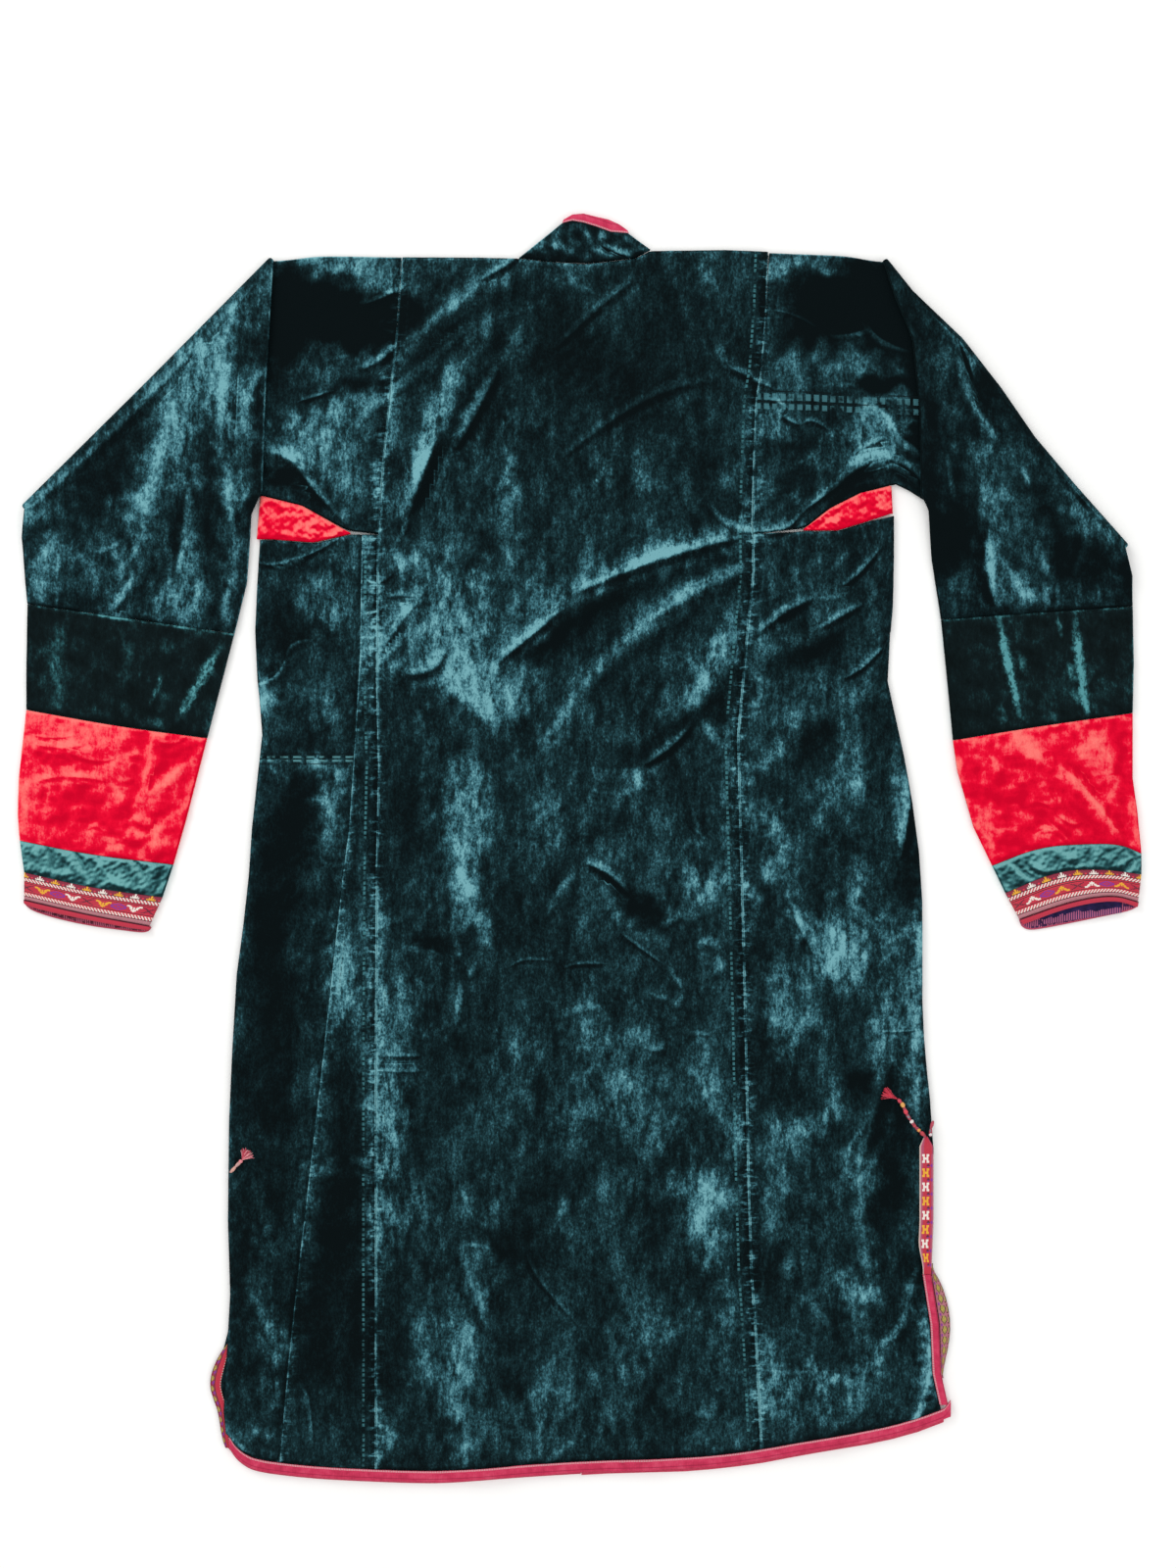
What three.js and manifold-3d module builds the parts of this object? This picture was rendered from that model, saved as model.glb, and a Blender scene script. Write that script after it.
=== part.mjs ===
// Chapan laid flat, back up, sleeves folded down. Millimetres, +Z up, collar towards +Y.
import * as THREE from 'three';
import Module from 'manifold-3d';

const wasm = await Module();
wasm.setup();
const { Manifold, Mesh: SolidMesh } = wasm;

// ---------------------------------------------------------------- sizes
const wall = 2.0;          // velvet with its lining
const air = 0.4;           // air between two layers that lie on each other
const seam = 0.3;          // air at a seam
const backZ = wall + air;  // underside of the back
const backTop = backZ + wall;
const stack = 9.4;         // height of a sleeve folded over itself
const flapZ = stack - backTop;
const bindWide = 10;       // hem binding

const colours = {
  velvet: '#16292d', velvetBand: '#12211f', red: '#d81a34', teal: '#2f6f72', crimson: '#c03550',
  trim: '#8a2c4c', facing: '#2c2150', bead: '#c8304a',
};
const rough = { velvet: 0.62, velvetBand: 0.6, red: 0.55, teal: 0.5, crimson: 0.75, trim: 0.8, facing: 0.75, bead: 0.4 };

// ---------------------------------------------------------------- tables
// rows of an outline or seam, from the collar down
const edgeLeft = [
  { y: 290, x: -294 }, { y: 243, x: -297 }, { y: 198, x: -299 }, { y: 153, x: -297 }, { y: 108, x: -292 },
  { y: 63, x: -297 }, { y: 18, x: -302 }, { y: -27, x: -305 }, { y: -72, x: -310 }, { y: -117, x: -316 },
  { y: -185, x: -320 }, { y: -252, x: -323 }, { y: -342, x: -324 }, { y: -410, x: -322 }, { y: -464, x: -325 },
  { y: -518, x: -328 }, { y: -580, x: -322 },
];
const edgeRight = [
  { y: 310, x: 287 }, { y: 265, x: 287 }, { y: 220, x: 286 }, { y: 198, x: 284 }, { y: 175, x: 276 },
  { y: 153, x: 281 }, { y: 130, x: 286 }, { y: 85, x: 296 }, { y: 40, x: 304 }, { y: -5, x: 310 },
  { y: -50, x: 313 }, { y: -140, x: 313 }, { y: -185, x: 315 }, { y: -230, x: 320 }, { y: -275, x: 323 },
  { y: -342, x: 323 }, { y: -392, x: 321 }, { y: -437, x: 328 }, { y: -482, x: 330 }, { y: -518, x: 338 },
  { y: -580, x: 341 },
];
const seamRight = [
  { y: 560, x: 172 }, { y: 495, x: 170 }, { y: 440, x: 166 }, { y: 410, x: 161 }, { y: 359, x: 159 },
  { y: 297, x: 157 }, { y: 252, x: 158 }, { y: 193, x: 152 }, { y: 147, x: 148 }, { y: 102, x: 144 },
  { y: 24, x: 146 }, { y: -171, x: 151 }, { y: -284, x: 153 }, { y: -387, x: 156 }, { y: -445, x: 160 },
  { y: -580, x: 167 },
];
const seamLeft = [
  { y: 542, x: -164 }, { y: 472, x: -169 }, { y: 358, x: -181 }, { y: 288, x: -186 }, { y: 154, x: -187 },
  { y: 74, x: -185 }, { y: -14, x: -187 }, { y: -189, x: -188 }, { y: -580, x: -188 },
];
const seamGore = [
  { y: 300, x: -201 }, { y: 177, x: -203 }, { y: 108, x: -207 }, { y: 76, x: -209 }, { y: 17, x: -213 },
  { y: -29, x: -219 }, { y: -212, x: -239 }, { y: -392, x: -260 }, { y: -477, x: -269 }, { y: -580, x: -278 },
];
// heights across the garment, from left to right
const hemLine = [
  { x: -345, y: -556 }, { x: -328, y: -560 }, { x: -298, y: -573 }, { x: -264, y: -576 }, { x: -228, y: -579 },
  { x: -156, y: -582 }, { x: -120, y: -582 }, { x: -48, y: -576 }, { x: 24, y: -572 }, { x: 96, y: -570 },
  { x: 132, y: -567 }, { x: 168, y: -562 }, { x: 204, y: -555 }, { x: 276, y: -543 }, { x: 312, y: -533 },
  { x: 350, y: -518 },
];
const shoulderLine = [
  { x: -350, y: 542 }, { x: -93, y: 541 }, { x: -58, y: 540 }, { x: -30, y: 537 }, { x: 6, y: 535 },
  { x: 49, y: 540 }, { x: 64, y: 547 }, { x: 132, y: 548 }, { x: 178, y: 546 }, { x: 281, y: 541 }, { x: 350, y: 541 },
];
const underarmLeft = [
  { x: -330, y: 282 }, { x: -282, y: 282 }, { x: -244, y: 279 }, { x: -223, y: 284 }, { x: -210, y: 287 }, { x: -180, y: 287 },
];
const underarmRight = [
  { x: 150, y: 287 }, { x: 205, y: 290 }, { x: 235, y: 290 }, { x: 264, y: 299 }, { x: 300, y: 307 },
];

// folds of the back: a crest from one end to the other through a middle point
const folds = [
  { name: 'right armpit, long', x0: 150, y0: 287, xm: 34, ym: 240, x1: -84, y1: 157, wide: 15, high: 6.5 },
  { name: 'right armpit, second', x0: 148, y0: 246, xm: 84, ym: 212, x1: 4, y1: 146, wide: 12, high: 4.5 },
  { name: 'right armpit, low', x0: 144, y0: 200, xm: 112, ym: 138, x1: 42, y1: 94, wide: 13, high: 5 },
  { name: 'neck to left armpit', x0: -66, y0: 505, xm: -118, ym: 408, x1: -164, y1: 300, wide: 13, high: 5 },
  { name: 'left armpit, short', x0: -122, y0: 392, xm: -143, ym: 345, x1: -160, y1: 306, wide: 10, high: 3.5 },
  { name: 'left shoulder', x0: -46, y0: 528, xm: -110, ym: 488, x1: -176, y1: 430, wide: 12, high: 4 },
  { name: 'left chest, broad', x0: -168, y0: 262, xm: -136, ym: 205, x1: -96, y1: 130, wide: 26, high: 4.5 },
  { name: 'left waist', x0: -134, y0: 78, xm: -104, ym: -20, x1: -112, y1: -106, wide: 14, high: 4 },
  { name: 'left hip', x0: -176, y0: -150, xm: -168, ym: -240, x1: -172, y1: -318, wide: 14, high: 3 },
  { name: 'middle, high', x0: 2, y0: -8, xm: 26, ym: -26, x1: 46, y1: -46, wide: 12, high: 3 },
  { name: 'middle, low', x0: 36, y0: -68, xm: 66, ym: -92, x1: 96, y1: -124, wide: 12, high: 3 },
  { name: 'skirt, left of middle', x0: -52, y0: -210, xm: -74, ym: -380, x1: -84, y1: -590, wide: 26, high: 4 },
  { name: 'skirt, right of middle', x0: 44, y0: -230, xm: 54, ym: -400, x1: 62, y1: -590, wide: 24, high: 3.5 },
  { name: 'skirt, right panel', x0: 232, y0: -90, xm: 236, ym: -300, x1: 226, y1: -590, wide: 24, high: 3.5 },
  { name: 'skirt, left panel', x0: -282, y0: -120, xm: -288, ym: -300, x1: -300, y1: -500, wide: 18, high: 2.5 },
  { name: 'right waist, upper', x0: 252, y0: 222, xm: 216, ym: 190, x1: 172, y1: 176, wide: 12, high: 4.5 },
  { name: 'right waist, lower', x0: 256, y0: 128, xm: 214, ym: 112, x1: 176, y1: 64, wide: 13, high: 3.5 },
  { name: 'left root', x0: -262, y0: 352, xm: -242, ym: 332, x1: -216, y1: 306, wide: 12, high: 4 },
  { name: 'left root, top', x0: -246, y0: 452, xm: -222, ym: 414, x1: -196, y1: 372, wide: 14, high: 3 },
  { name: 'right root', x0: 204, y0: 404, xm: 226, ym: 372, x1: 246, y1: 348, wide: 11, high: 4 },
  { name: 'right root, top', x0: 188, y0: 486, xm: 206, ym: 450, x1: 214, y1: 420, wide: 13, high: 3 },
  { name: 'between the shoulders', x0: 20, y0: 470, xm: 66, ym: 420, x1: 108, y1: 380, wide: 20, high: 3 },
];

// sleeves: each side's edges and cross seams, from the shoulder to the wrist
const sleeves = {
  left: {
    out: -1,
    armhole: [[-164.5, 541], [-169, 472], [-181, 358], [-186.2, 287.6]],
    top: [[-164.5, 541], [-225, 542], [-285, 541]],
    under: [[-186.2, 287.6], [-213, 290], [-238, 303], [-256, 313], [-296, 323], [-400, 320], [-513, 313]],
    fold: [[-285, 541], [-400, 425], [-513, 313]],
    inner: [[-285, 541], [-291, 418], [-293, 328], [-303, 306], [-307, 243], [-318, 196]],
    outer: [[-513, 313], [-515, 286], [-511, 246], [-508, 223]],
    rootEdge: [{ x: -520, y: 312 }, { x: -400, y: 320 }, { x: -296, y: 323 }, { x: -256, y: 313 }],
    bands: [
      { name: 'dark_band', look: 'velvetBand', steps: 3, end: [[-343, 100], [-420, 110], [-509, 126]], inner: [[-318, 196], [-343, 100]], outer: [[-508, 223], [-509, 160], [-509, 126]], puff: 2.2 },
      { name: 'red_band', look: 'red', steps: 4, end: [[-374, -16], [-450, -7], [-515, 6]], inner: [[-343, 100], [-362, 26], [-374, -16]], outer: [[-509, 126], [-516, 63], [-517, 30], [-515, 6]], puff: 2.2 },
      { name: 'teal_band', look: 'teal', steps: 2, end: [[-384, -46], [-450, -37], [-511, -23]], inner: [[-374, -16], [-384, -46]], outer: [[-515, 6], [-511, -23]], puff: 2.4 },
      { name: 'cuff_trim', look: 'trim', steps: 2, end: [[-396, -72], [-450, -62], [-511, -48]], inner: [[-384, -46], [-396, -72]], outer: [[-511, -23], [-511, -48]], puff: 2.2 },
    ],
    lip: { end: [[-398, -77], [-450, -67], [-511, -53]], low: [[-396, -79], [-448, -73], [-505, -58]], puff: 2.0 },
  },
  right: {
    out: 1,
    armhole: [[172.3, 545], [170, 495], [166, 440], [161, 410], [159, 359], [157.2, 297], [157.4, 288.4]],
    top: [[172.3, 545], [225, 543], [280, 540]],
    under: [[157.4, 288.4], [205, 293.4], [228, 311], [256, 325], [288, 333], [301, 327], [318, 316], [420, 296], [502, 277]],
    fold: [[280, 540], [304, 510], [350, 466], [385, 421], [416, 376], [454, 331], [502, 277]],
    inner: [[280, 540], [290, 508], [306, 468], [312, 400], [312, 325], [319, 310], [322, 265], [330, 209]],
    outer: [[502, 277], [507, 250], [506, 221]],
    rootEdge: [{ x: 256, y: 325 }, { x: 288, y: 333 }, { x: 318, y: 316 }, { x: 420, y: 296 }, { x: 510, y: 276 }],
    bands: [
      { name: 'dark_band', look: 'velvetBand', steps: 3, end: [[341, 98], [420, 111], [506, 123]], inner: [[330, 209], [336, 150], [341, 98]], outer: [[506, 221], [507, 170], [506, 123]], puff: 2.2 },
      { name: 'red_band', look: 'red', steps: 4, end: [[377, -17], [419, 0], [460, 3], [494, 3], [514, -6]], inner: [[341, 98], [345, 70], [360, 18], [377, -17]], outer: [[506, 123], [506, 63], [510, 35], [514, -6]], puff: 2.6 },
      { name: 'teal_band', look: 'teal', steps: 2, end: [[389, -42], [437, -21], [480, -20], [514, -25]], inner: [[377, -17], [389, -42]], outer: [[514, -6], [514, -25]], puff: 3.2 },
      { name: 'cuff_trim', look: 'trim', steps: 2, end: [[402, -66], [448, -49], [487, -43], [511, -50]], inner: [[389, -42], [402, -66]], outer: [[514, -25], [511, -50]], puff: 4.6 },
    ],
    lip: { end: [[405, -71], [448, -54], [489, -48], [510, -55]], low: [[409, -77], [470, -68], [507, -62]], puff: 4.8 },
  },
};

// ---------------------------------------------------------------- shared maths
const clamp01 = (t) => Math.min(1, Math.max(0, t));
const mix = (a, b, t) => a + (b - a) * t;
const soft = (t) => { const c = clamp01(t); return c * c * (3 - 2 * c); };

function xAtY(rows, y) {
  if (y >= rows[0].y) return rows[0].x;
  for (let i = 1; i < rows.length; i += 1) {
    const a = rows[i - 1], b = rows[i];
    if (y >= b.y) return mix(a.x, b.x, (a.y - y) / (a.y - b.y));
  }
  return rows[rows.length - 1].x;
}

function yAtX(rows, x) {
  if (x <= rows[0].x) return rows[0].y;
  for (let i = 1; i < rows.length; i += 1) {
    const a = rows[i - 1], b = rows[i];
    if (x <= b.x) return mix(a.y, b.y, (x - a.x) / (b.x - a.x));
  }
  return rows[rows.length - 1].y;
}

// a path through points, as a function of the share of its length
function path(points) {
  const sums = [0];
  for (let i = 1; i < points.length; i += 1) {
    sums.push(sums[i - 1] + Math.hypot(points[i][0] - points[i - 1][0], points[i][1] - points[i - 1][1]));
  }
  const total = sums[sums.length - 1];
  return (t) => {
    const want = clamp01(t) * total;
    let i = 1;
    while (i < points.length - 1 && sums[i] < want) i += 1;
    const k = (want - sums[i - 1]) / (sums[i] - sums[i - 1]);
    return [mix(points[i - 1][0], points[i][0], k), mix(points[i - 1][1], points[i][1], k)];
  };
}

// the share of a path's length at each of its points
function sharesOf(points) {
  const sums = [0];
  for (let i = 1; i < points.length; i += 1) {
    sums.push(sums[i - 1] + Math.hypot(points[i][0] - points[i - 1][0], points[i][1] - points[i - 1][1]));
  }
  return sums.map((v) => v / sums[sums.length - 1]);
}

// a patch inside four edges: first and last run across, a and b run along
function patch(first, last, a, b) {
  const corner = [first(0), first(1), last(0), last(1)];
  return (s, t) => [0, 1].map((k) => (1 - s) * first(t)[k] + s * last(t)[k] + (1 - t) * a(s)[k] + t * b(s)[k]
    - (1 - s) * (1 - t) * corner[0][k] - (1 - s) * t * corner[1][k] - s * (1 - t) * corner[2][k] - s * t * corner[3][k]);
}

// height that the folds give the upper layer at a place
const foldPaths = folds.map((f) => {
  const pts = [];
  for (let i = 0; i <= 16; i += 1) {
    const t = i / 16;
    const cx = 2 * f.xm - (f.x0 + f.x1) / 2, cy = 2 * f.ym - (f.y0 + f.y1) / 2;
    pts.push([(1 - t) ** 2 * f.x0 + 2 * t * (1 - t) * cx + t * t * f.x1, (1 - t) ** 2 * f.y0 + 2 * t * (1 - t) * cy + t * t * f.y1]);
  }
  return { ...f, pts };
});

function foldHeight(x, y) {
  let sum = 0;
  for (const f of foldPaths) {
    let best = Infinity, at = 0;
    f.pts.forEach(([px, py], i) => {
      const d = Math.hypot(x - px, y - py);
      if (d < best) { best = d; at = i / 16; }
    });
    if (best > f.wide * 3) continue;
    const fade = 0.35 + 0.65 * Math.sin(Math.PI * Math.min(0.96, Math.max(0.04, at)));
    sum += f.high * fade * Math.exp(-((best / f.wide) ** 2));
  }
  return Math.min(sum, 7.5);
}

// ---------------------------------------------------------------- solids
const group = new THREE.Group();
group.name = 'chapan';

function addSolid(name, look, verts, faces) {
  let volume = 0;
  for (const [a, b, c] of faces) {
    const [p, q, r] = [verts[a], verts[b], verts[c]];
    volume += p[0] * (q[1] * r[2] - q[2] * r[1]) + p[1] * (q[2] * r[0] - q[0] * r[2]) + p[2] * (q[0] * r[1] - q[1] * r[0]);
  }
  const index = faces.flatMap(([a, b, c]) => (volume > 0 ? [a, b, c] : [a, c, b]));
  const geometry = new THREE.BufferGeometry();
  geometry.setAttribute('position', new THREE.Float32BufferAttribute(verts.flat(), 3));
  geometry.setIndex(index);
  geometry.computeVertexNormals();
  const material = new THREE.MeshStandardMaterial({ color: colours[look], roughness: rough[look], metalness: 0 });
  material.name = look;
  const mesh = new THREE.Mesh(geometry, material);
  mesh.name = name;
  group.add(mesh);
}

// a flat panel of cloth: upper and lower points on one grid, closed round its edge
function sheetSolid(name, look, across, along, upper, lower) {
  const verts = [], faces = [];
  const id = (i, j, k) => (j * (across + 1) + i) * 2 + k;
  for (let j = 0; j <= along; j += 1) {
    for (let i = 0; i <= across; i += 1) verts.push(upper(i, j), lower(i, j));
  }
  const quad = (a, b, c, d) => faces.push([a, b, c], [a, c, d]);
  for (let j = 0; j < along; j += 1) {
    for (let i = 0; i < across; i += 1) {
      quad(id(i, j, 0), id(i + 1, j, 0), id(i + 1, j + 1, 0), id(i, j + 1, 0));
      quad(id(i, j, 1), id(i, j + 1, 1), id(i + 1, j + 1, 1), id(i + 1, j, 1));
    }
  }
  for (let i = 0; i < across; i += 1) {
    quad(id(i, 0, 0), id(i, 0, 1), id(i + 1, 0, 1), id(i + 1, 0, 0));
    quad(id(i, along, 0), id(i + 1, along, 0), id(i + 1, along, 1), id(i, along, 1));
  }
  for (let j = 0; j < along; j += 1) {
    quad(id(0, j, 0), id(0, j + 1, 0), id(0, j + 1, 1), id(0, j, 1));
    quad(id(across, j, 0), id(across, j, 1), id(across, j + 1, 1), id(across, j + 1, 0));
  }
  addSolid(name, look, verts, faces);
}

// a tube pressed flat: a ring of outer and inner points for each section
function tubeSolid(name, look, rings) {
  const verts = [], faces = [];
  const n = rings[0].outer.length;
  rings.forEach((ring) => { verts.push(...ring.outer, ...ring.inner); });
  const id = (r, k, i) => r * 2 * n + k * n + ((i + n) % n);
  const quad = (a, b, c, d) => faces.push([a, b, c], [a, c, d]);
  for (let r = 0; r < rings.length - 1; r += 1) {
    for (let i = 0; i < n; i += 1) {
      quad(id(r, 0, i), id(r, 0, i + 1), id(r + 1, 0, i + 1), id(r + 1, 0, i));
      quad(id(r, 1, i), id(r + 1, 1, i), id(r + 1, 1, i + 1), id(r, 1, i + 1));
    }
  }
  const last = rings.length - 1;
  for (let i = 0; i < n; i += 1) {
    quad(id(0, 0, i), id(0, 1, i), id(0, 1, i + 1), id(0, 0, i + 1));
    quad(id(last, 0, i), id(last, 0, i + 1), id(last, 1, i + 1), id(last, 1, i));
  }
  addSolid(name, look, verts, faces);
}

// one ring across a flat tube; place gives x and y at a share of the width
function flatRing(place, cells, low, high, thick = wall) {
  const [ax, ay] = place(0), [bx, by] = place(1);
  const wide = Math.hypot(bx - ax, by - ay);
  const shares = (inset) => {
    const list = [inset / wide];
    for (let i = 1; i < cells; i += 1) list.push(i / cells);
    list.push(1 - inset / wide);
    return list;
  };
  const loop = (inset, edge, up, down) => {
    const s = shares(inset), pts = [];
    const at = (t, h) => { const [x, y] = place(t); return [x, y, h(x, y)]; };
    const middle = (x, y) => (up(x, y) + down(x, y)) / 2;
    pts.push(at(edge / wide, middle));
    s.forEach((t) => pts.push(at(t, down)));
    pts.push(at(1 - edge / wide, middle));
    s.slice().reverse().forEach((t) => pts.push(at(t, up)));
    return pts;
  };
  // the upper wall stands off more in the middle of its width than at its edges
  return {
    outer: loop(1.3, 0, high, low),
    inner: loop(3.0, 2.2, (x, y) => high(x, y) - thick, (x, y) => low(x, y) + thick),
  };
}

// ---------------------------------------------------------------- the back
const rowsY = [];
for (let i = 0; i <= 8; i += 1) rowsY.push(mix(545, 288, i / 8));
for (let i = 1; i <= 8; i += 1) rowsY.push(mix(288, 81, i / 8));
for (let i = 1; i <= 22; i += 1) rowsY.push(mix(81, -575, i / 22));
const underarmRow = 8, piecingRow = 16, hemRow = rowsY.length - 1;

// height of a row at x: the first rows follow the shoulder and the last ones follow the hem
function rowAt(j, x) {
  const y = rowsY[j];
  const up = clamp01((y - 440) / 105) * (yAtX(shoulderLine, x) - 0.4 - 545);
  const down = clamp01((-400 - y) / 175) * (yAtX(hemLine, x) + bindWide + seam + 575);
  return y + up + down;
}

const hemPoints = [];
function backPanel(name, { across, from, to, left, right, topEdge, lift = 0 }) {
  const point = (i, j) => {
    const row = from + j;
    const yl = rowAt(row, left(rowsY[row])), yr = rowAt(row, right(rowsY[row]));
    const x = mix(left(yl) + seam / 2, right(yr) - seam / 2, i / across);
    let y = rowAt(row, x);
    if (topEdge && j < 3) y += (yAtX(topEdge, x) - seam - rowsY[from]) * (1 - j / 3);
    if (j === 0 && from > 0 && !topEdge) y -= seam / 2;
    if (row === to && to < hemRow) y += seam / 2;
    return [x, y];
  };
  if (to === hemRow) for (let i = 0; i <= across; i += 1) hemPoints.push(point(i, to - from));
  const upper = (i, j) => { const [x, y] = point(i, j); return [x, y, backTop + foldHeight(x, y) + lift]; };
  const lower = (i, j) => { const [x, y] = point(i, j); return [x, y, backZ + foldHeight(x, y)]; };
  sheetSolid(name, 'velvet', across, to - from, upper, lower);
}

// right of the slit's lower part the panel stops short of its binding
const rightEdge = (y) => xAtY(edgeRight, y) - 8.3 * soft((-345 - y) / 40);

backPanel('back_centre', { across: 13, from: 0, to: hemRow, left: (y) => xAtY(seamLeft, y), right: (y) => xAtY(seamRight, y) });
backPanel('back_gore_left', { across: 2, from: underarmRow, to: hemRow, left: (y) => xAtY(seamGore, y), right: (y) => xAtY(seamLeft, y), topEdge: underarmLeft });
backPanel('back_side_left_upper', { across: 4, from: underarmRow, to: piecingRow, left: (y) => xAtY(edgeLeft, y), right: (y) => xAtY(seamGore, y), topEdge: underarmLeft });
backPanel('back_side_left_lower', { across: 4, from: piecingRow, to: hemRow, left: (y) => xAtY(edgeLeft, y), right: (y) => xAtY(seamGore, y) });
backPanel('back_side_right', { across: 6, from: underarmRow, to: hemRow, left: (y) => xAtY(seamRight, y), right: rightEdge, topEdge: underarmRight });

// hem binding of the back, wrapped round the edge
hemPoints.sort((a, b) => a[0] - b[0]);
hemPoints.push([338.6, hemPoints[hemPoints.length - 1][1] + 5.5]);
sheetSolid('hem_binding_back', 'crimson', hemPoints.length - 1, 1, ...[1, 0].map((top) => (i, j) => {
  const [x, y0] = hemPoints[i];
  return [x, j === 0 ? y0 - seam : yAtX(hemLine, x), (top ? backTop + 0.3 : backZ) + foldHeight(x, y0)];
}));

// ---------------------------------------------------------------- the fronts
// the fronts stick out a little at the slits
const slitOutLeft = [
  { y: -400, x: -324 }, { y: -432, x: -327 }, { y: -452, x: -337 }, { y: -470, x: -339.5 }, { y: -500, x: -339.5 },
  { y: -522, x: -335 }, { y: -556, x: -329 }, { y: -580, x: -322 },
];
const slitOutRight = [
  { y: -380, x: 324 }, { y: -391, x: 329 }, { y: -410, x: 335 }, { y: -437, x: 338.5 }, { y: -455, x: 337.5 },
  { y: -480, x: 335 }, { y: -512, x: 339 }, { y: -580, x: 340 },
];
const slitTrimWide = 9;
const frontLeft = (y) => mix(xAtY(edgeLeft, y) + 0.5, xAtY(slitOutLeft, y) + slitTrimWide, soft((-410 - y) / 40));
const frontRight = (y) => mix(xAtY(edgeRight, y) - 0.5, xAtY(slitOutRight, y) - slitTrimWide, soft((-350 - y) / 40));
const frontRowsY = [545, 480, 420, 350, 288, 240, 195, 150, 100, 40, -20, -90, -160, -230, -300, -350, -390, -420, -450, -480, -510, -540, -575];
const frontEdges = {};

function frontPanel(name, left, right, topEdge) {
  const rows = topEdge ? frontRowsY.slice(4) : frontRowsY;
  const cells = topEdge ? 3 : 4;
  const point = (i, j) => {
    const y0 = rows[j];
    let x = 0, y = y0;
    for (let k = 0; k < 4; k += 1) {
      x = mix(left(y), right(y), i / cells);
      const up = clamp01((y0 - 440) / 105) * (yAtX(shoulderLine, x) - 1 - 545);
      const down = clamp01((-400 - y0) / 175) * (yAtX(hemLine, x) - 2.7 + bindWide + seam + 575);
      y = y0 + (topEdge ? 0 : up) + down;
      if (topEdge && j < 3) y += (yAtX(topEdge, x) - 2.4 - rows[0]) * (1 - j / 3);
    }
    return [x, y];
  };
  frontEdges[name] = rows.map((_, j) => point(name.endsWith('left') ? 0 : cells, j));
  const along = rows.length - 1;
  sheetSolid(name, 'velvet', cells, along, (i, j) => [...point(i, j), wall], (i, j) => [...point(i, j), 0]);
}
const frontOpening = 9.2;
frontPanel('front_left', (y) => xAtY(seamLeft, y) + 0.5, () => -frontOpening);
frontPanel('front_right', () => frontOpening, (y) => xAtY(seamRight, y) - 0.5);
frontPanel('front_side_left', frontLeft, (y) => xAtY(seamLeft, y) + 0.1, underarmLeft);
frontPanel('front_side_right', (y) => xAtY(seamRight, y) - 0.1, frontRight, underarmRight);

for (const [name, side] of [['front_edge_binding_left', -1], ['front_edge_binding_right', 1]]) {
  sheetSolid(name, 'crimson', 1, 6, ...[1, 0].map((top) => (i, j) => {
    const x = side * (i === 0 ? 0.4 : frontOpening - seam);
    const y = mix(yAtX(shoulderLine, x) - 1, yAtX(hemLine, x) - 2.7 + bindWide + seam, j / 6);
    return [x, y, top ? wall : 0];
  }));
}
for (const [name, x0, x1] of [['hem_binding_front_left', -322, -0.4], ['hem_binding_front_right', 0.4, 332.6]]) {
  sheetSolid(name, 'crimson', 14, 1, ...[1, 0].map((top) => (i, j) => {
    const x = mix(x0, x1, i / 14);
    const y = yAtX(hemLine, x) - 2.7 + (j === 0 ? bindWide - 0.9 : 0);
    return [x, y, top ? wall : 0];
  }));
}

// ---------------------------------------------------------------- slit edges
const slitTop = -270, slitTrimEnd = -391;
const along = (y0, y1, n, j) => mix(y0, y1, j / n);
// woven trim on the right back edge, laid on the panel
sheetSolid('slit_trim_back_right', 'trim', 1, 5, ...[1, 0].map((top) => (i, j) => {
  const y = along(slitTop, slitTrimEnd, 5, j);
  return [xAtY(edgeRight, y) - (i === 0 ? 13 : 0.2), y, backTop + seam + foldHeight(318, y) + (top ? 1.2 : 0)];
}));
// crimson binding below it, round the edge itself
sheetSolid('slit_binding_back_right', 'crimson', 1, 5, ...[1, 0].map((top) => (i, j) => {
  const y = along(-394, -510, 5, j);
  return [xAtY(edgeRight, y) - (i === 0 ? 7.8 : 0), y, (top ? backTop + 0.3 : backZ)];
}));
// the fronts' slit trims, beyond the back's edges
for (const [name, front, side, top0, out] of [
  ['slit_trim_front_right', 'front_side_right', 1, -380, slitOutRight],
  ['slit_trim_front_left', 'front_side_left', -1, -440, slitOutLeft],
]) {
  const rows = frontEdges[front].filter(([, y]) => y < top0);
  sheetSolid(name, 'trim', 1, rows.length - 1, ...[1, 0].map((top) => (i, j) => {
    const [x, y] = rows[j];
    return [i === 0 ? x + side * seam : Math.max(Math.abs(x) + 3, Math.abs(xAtY(out, y))) * side, y, top ? wall : 0];
  }));
}

// ---------------------------------------------------------------- neck
const neckBase = path([[-57, 541.2], [-30, 538.2], [6, 536.4], [49, 541.2], [63.5, 548.8]]);
const neckLeft = path([[-57, 541.2], [-17.5, 572]]);
const neckRight = path([[63.5, 548.8], [43.5, 562.5]]);
const neckTop = path([[-17.5, 572], [-8, 574.2], [2, 572.5], [14, 568.8], [27, 564], [43.5, 562.5]]);
const stand = patch(neckBase, neckTop, neckLeft, neckRight);
const standRings = [];
for (let r = 0; r <= 3; r += 1) {
  const s = mix(0.01, 0.985, r / 3);
  standRings.push(flatRing((t) => stand(s, t), 8, () => 0, () => backTop + 0.6 * r));
}
tubeSolid('neck_stand', 'velvet', standRings);
const bindLow = path([[-17.5, 572.6], [-8, 574.8], [2, 573.1], [14, 569.4], [27, 564.6], [43.8, 563.2]]);
const bindTop = path([[-15.5, 575.5], [-8, 580], [2, 581], [13, 578.3], [25, 575.5], [35, 571], [42.5, 565.4]]);
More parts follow.
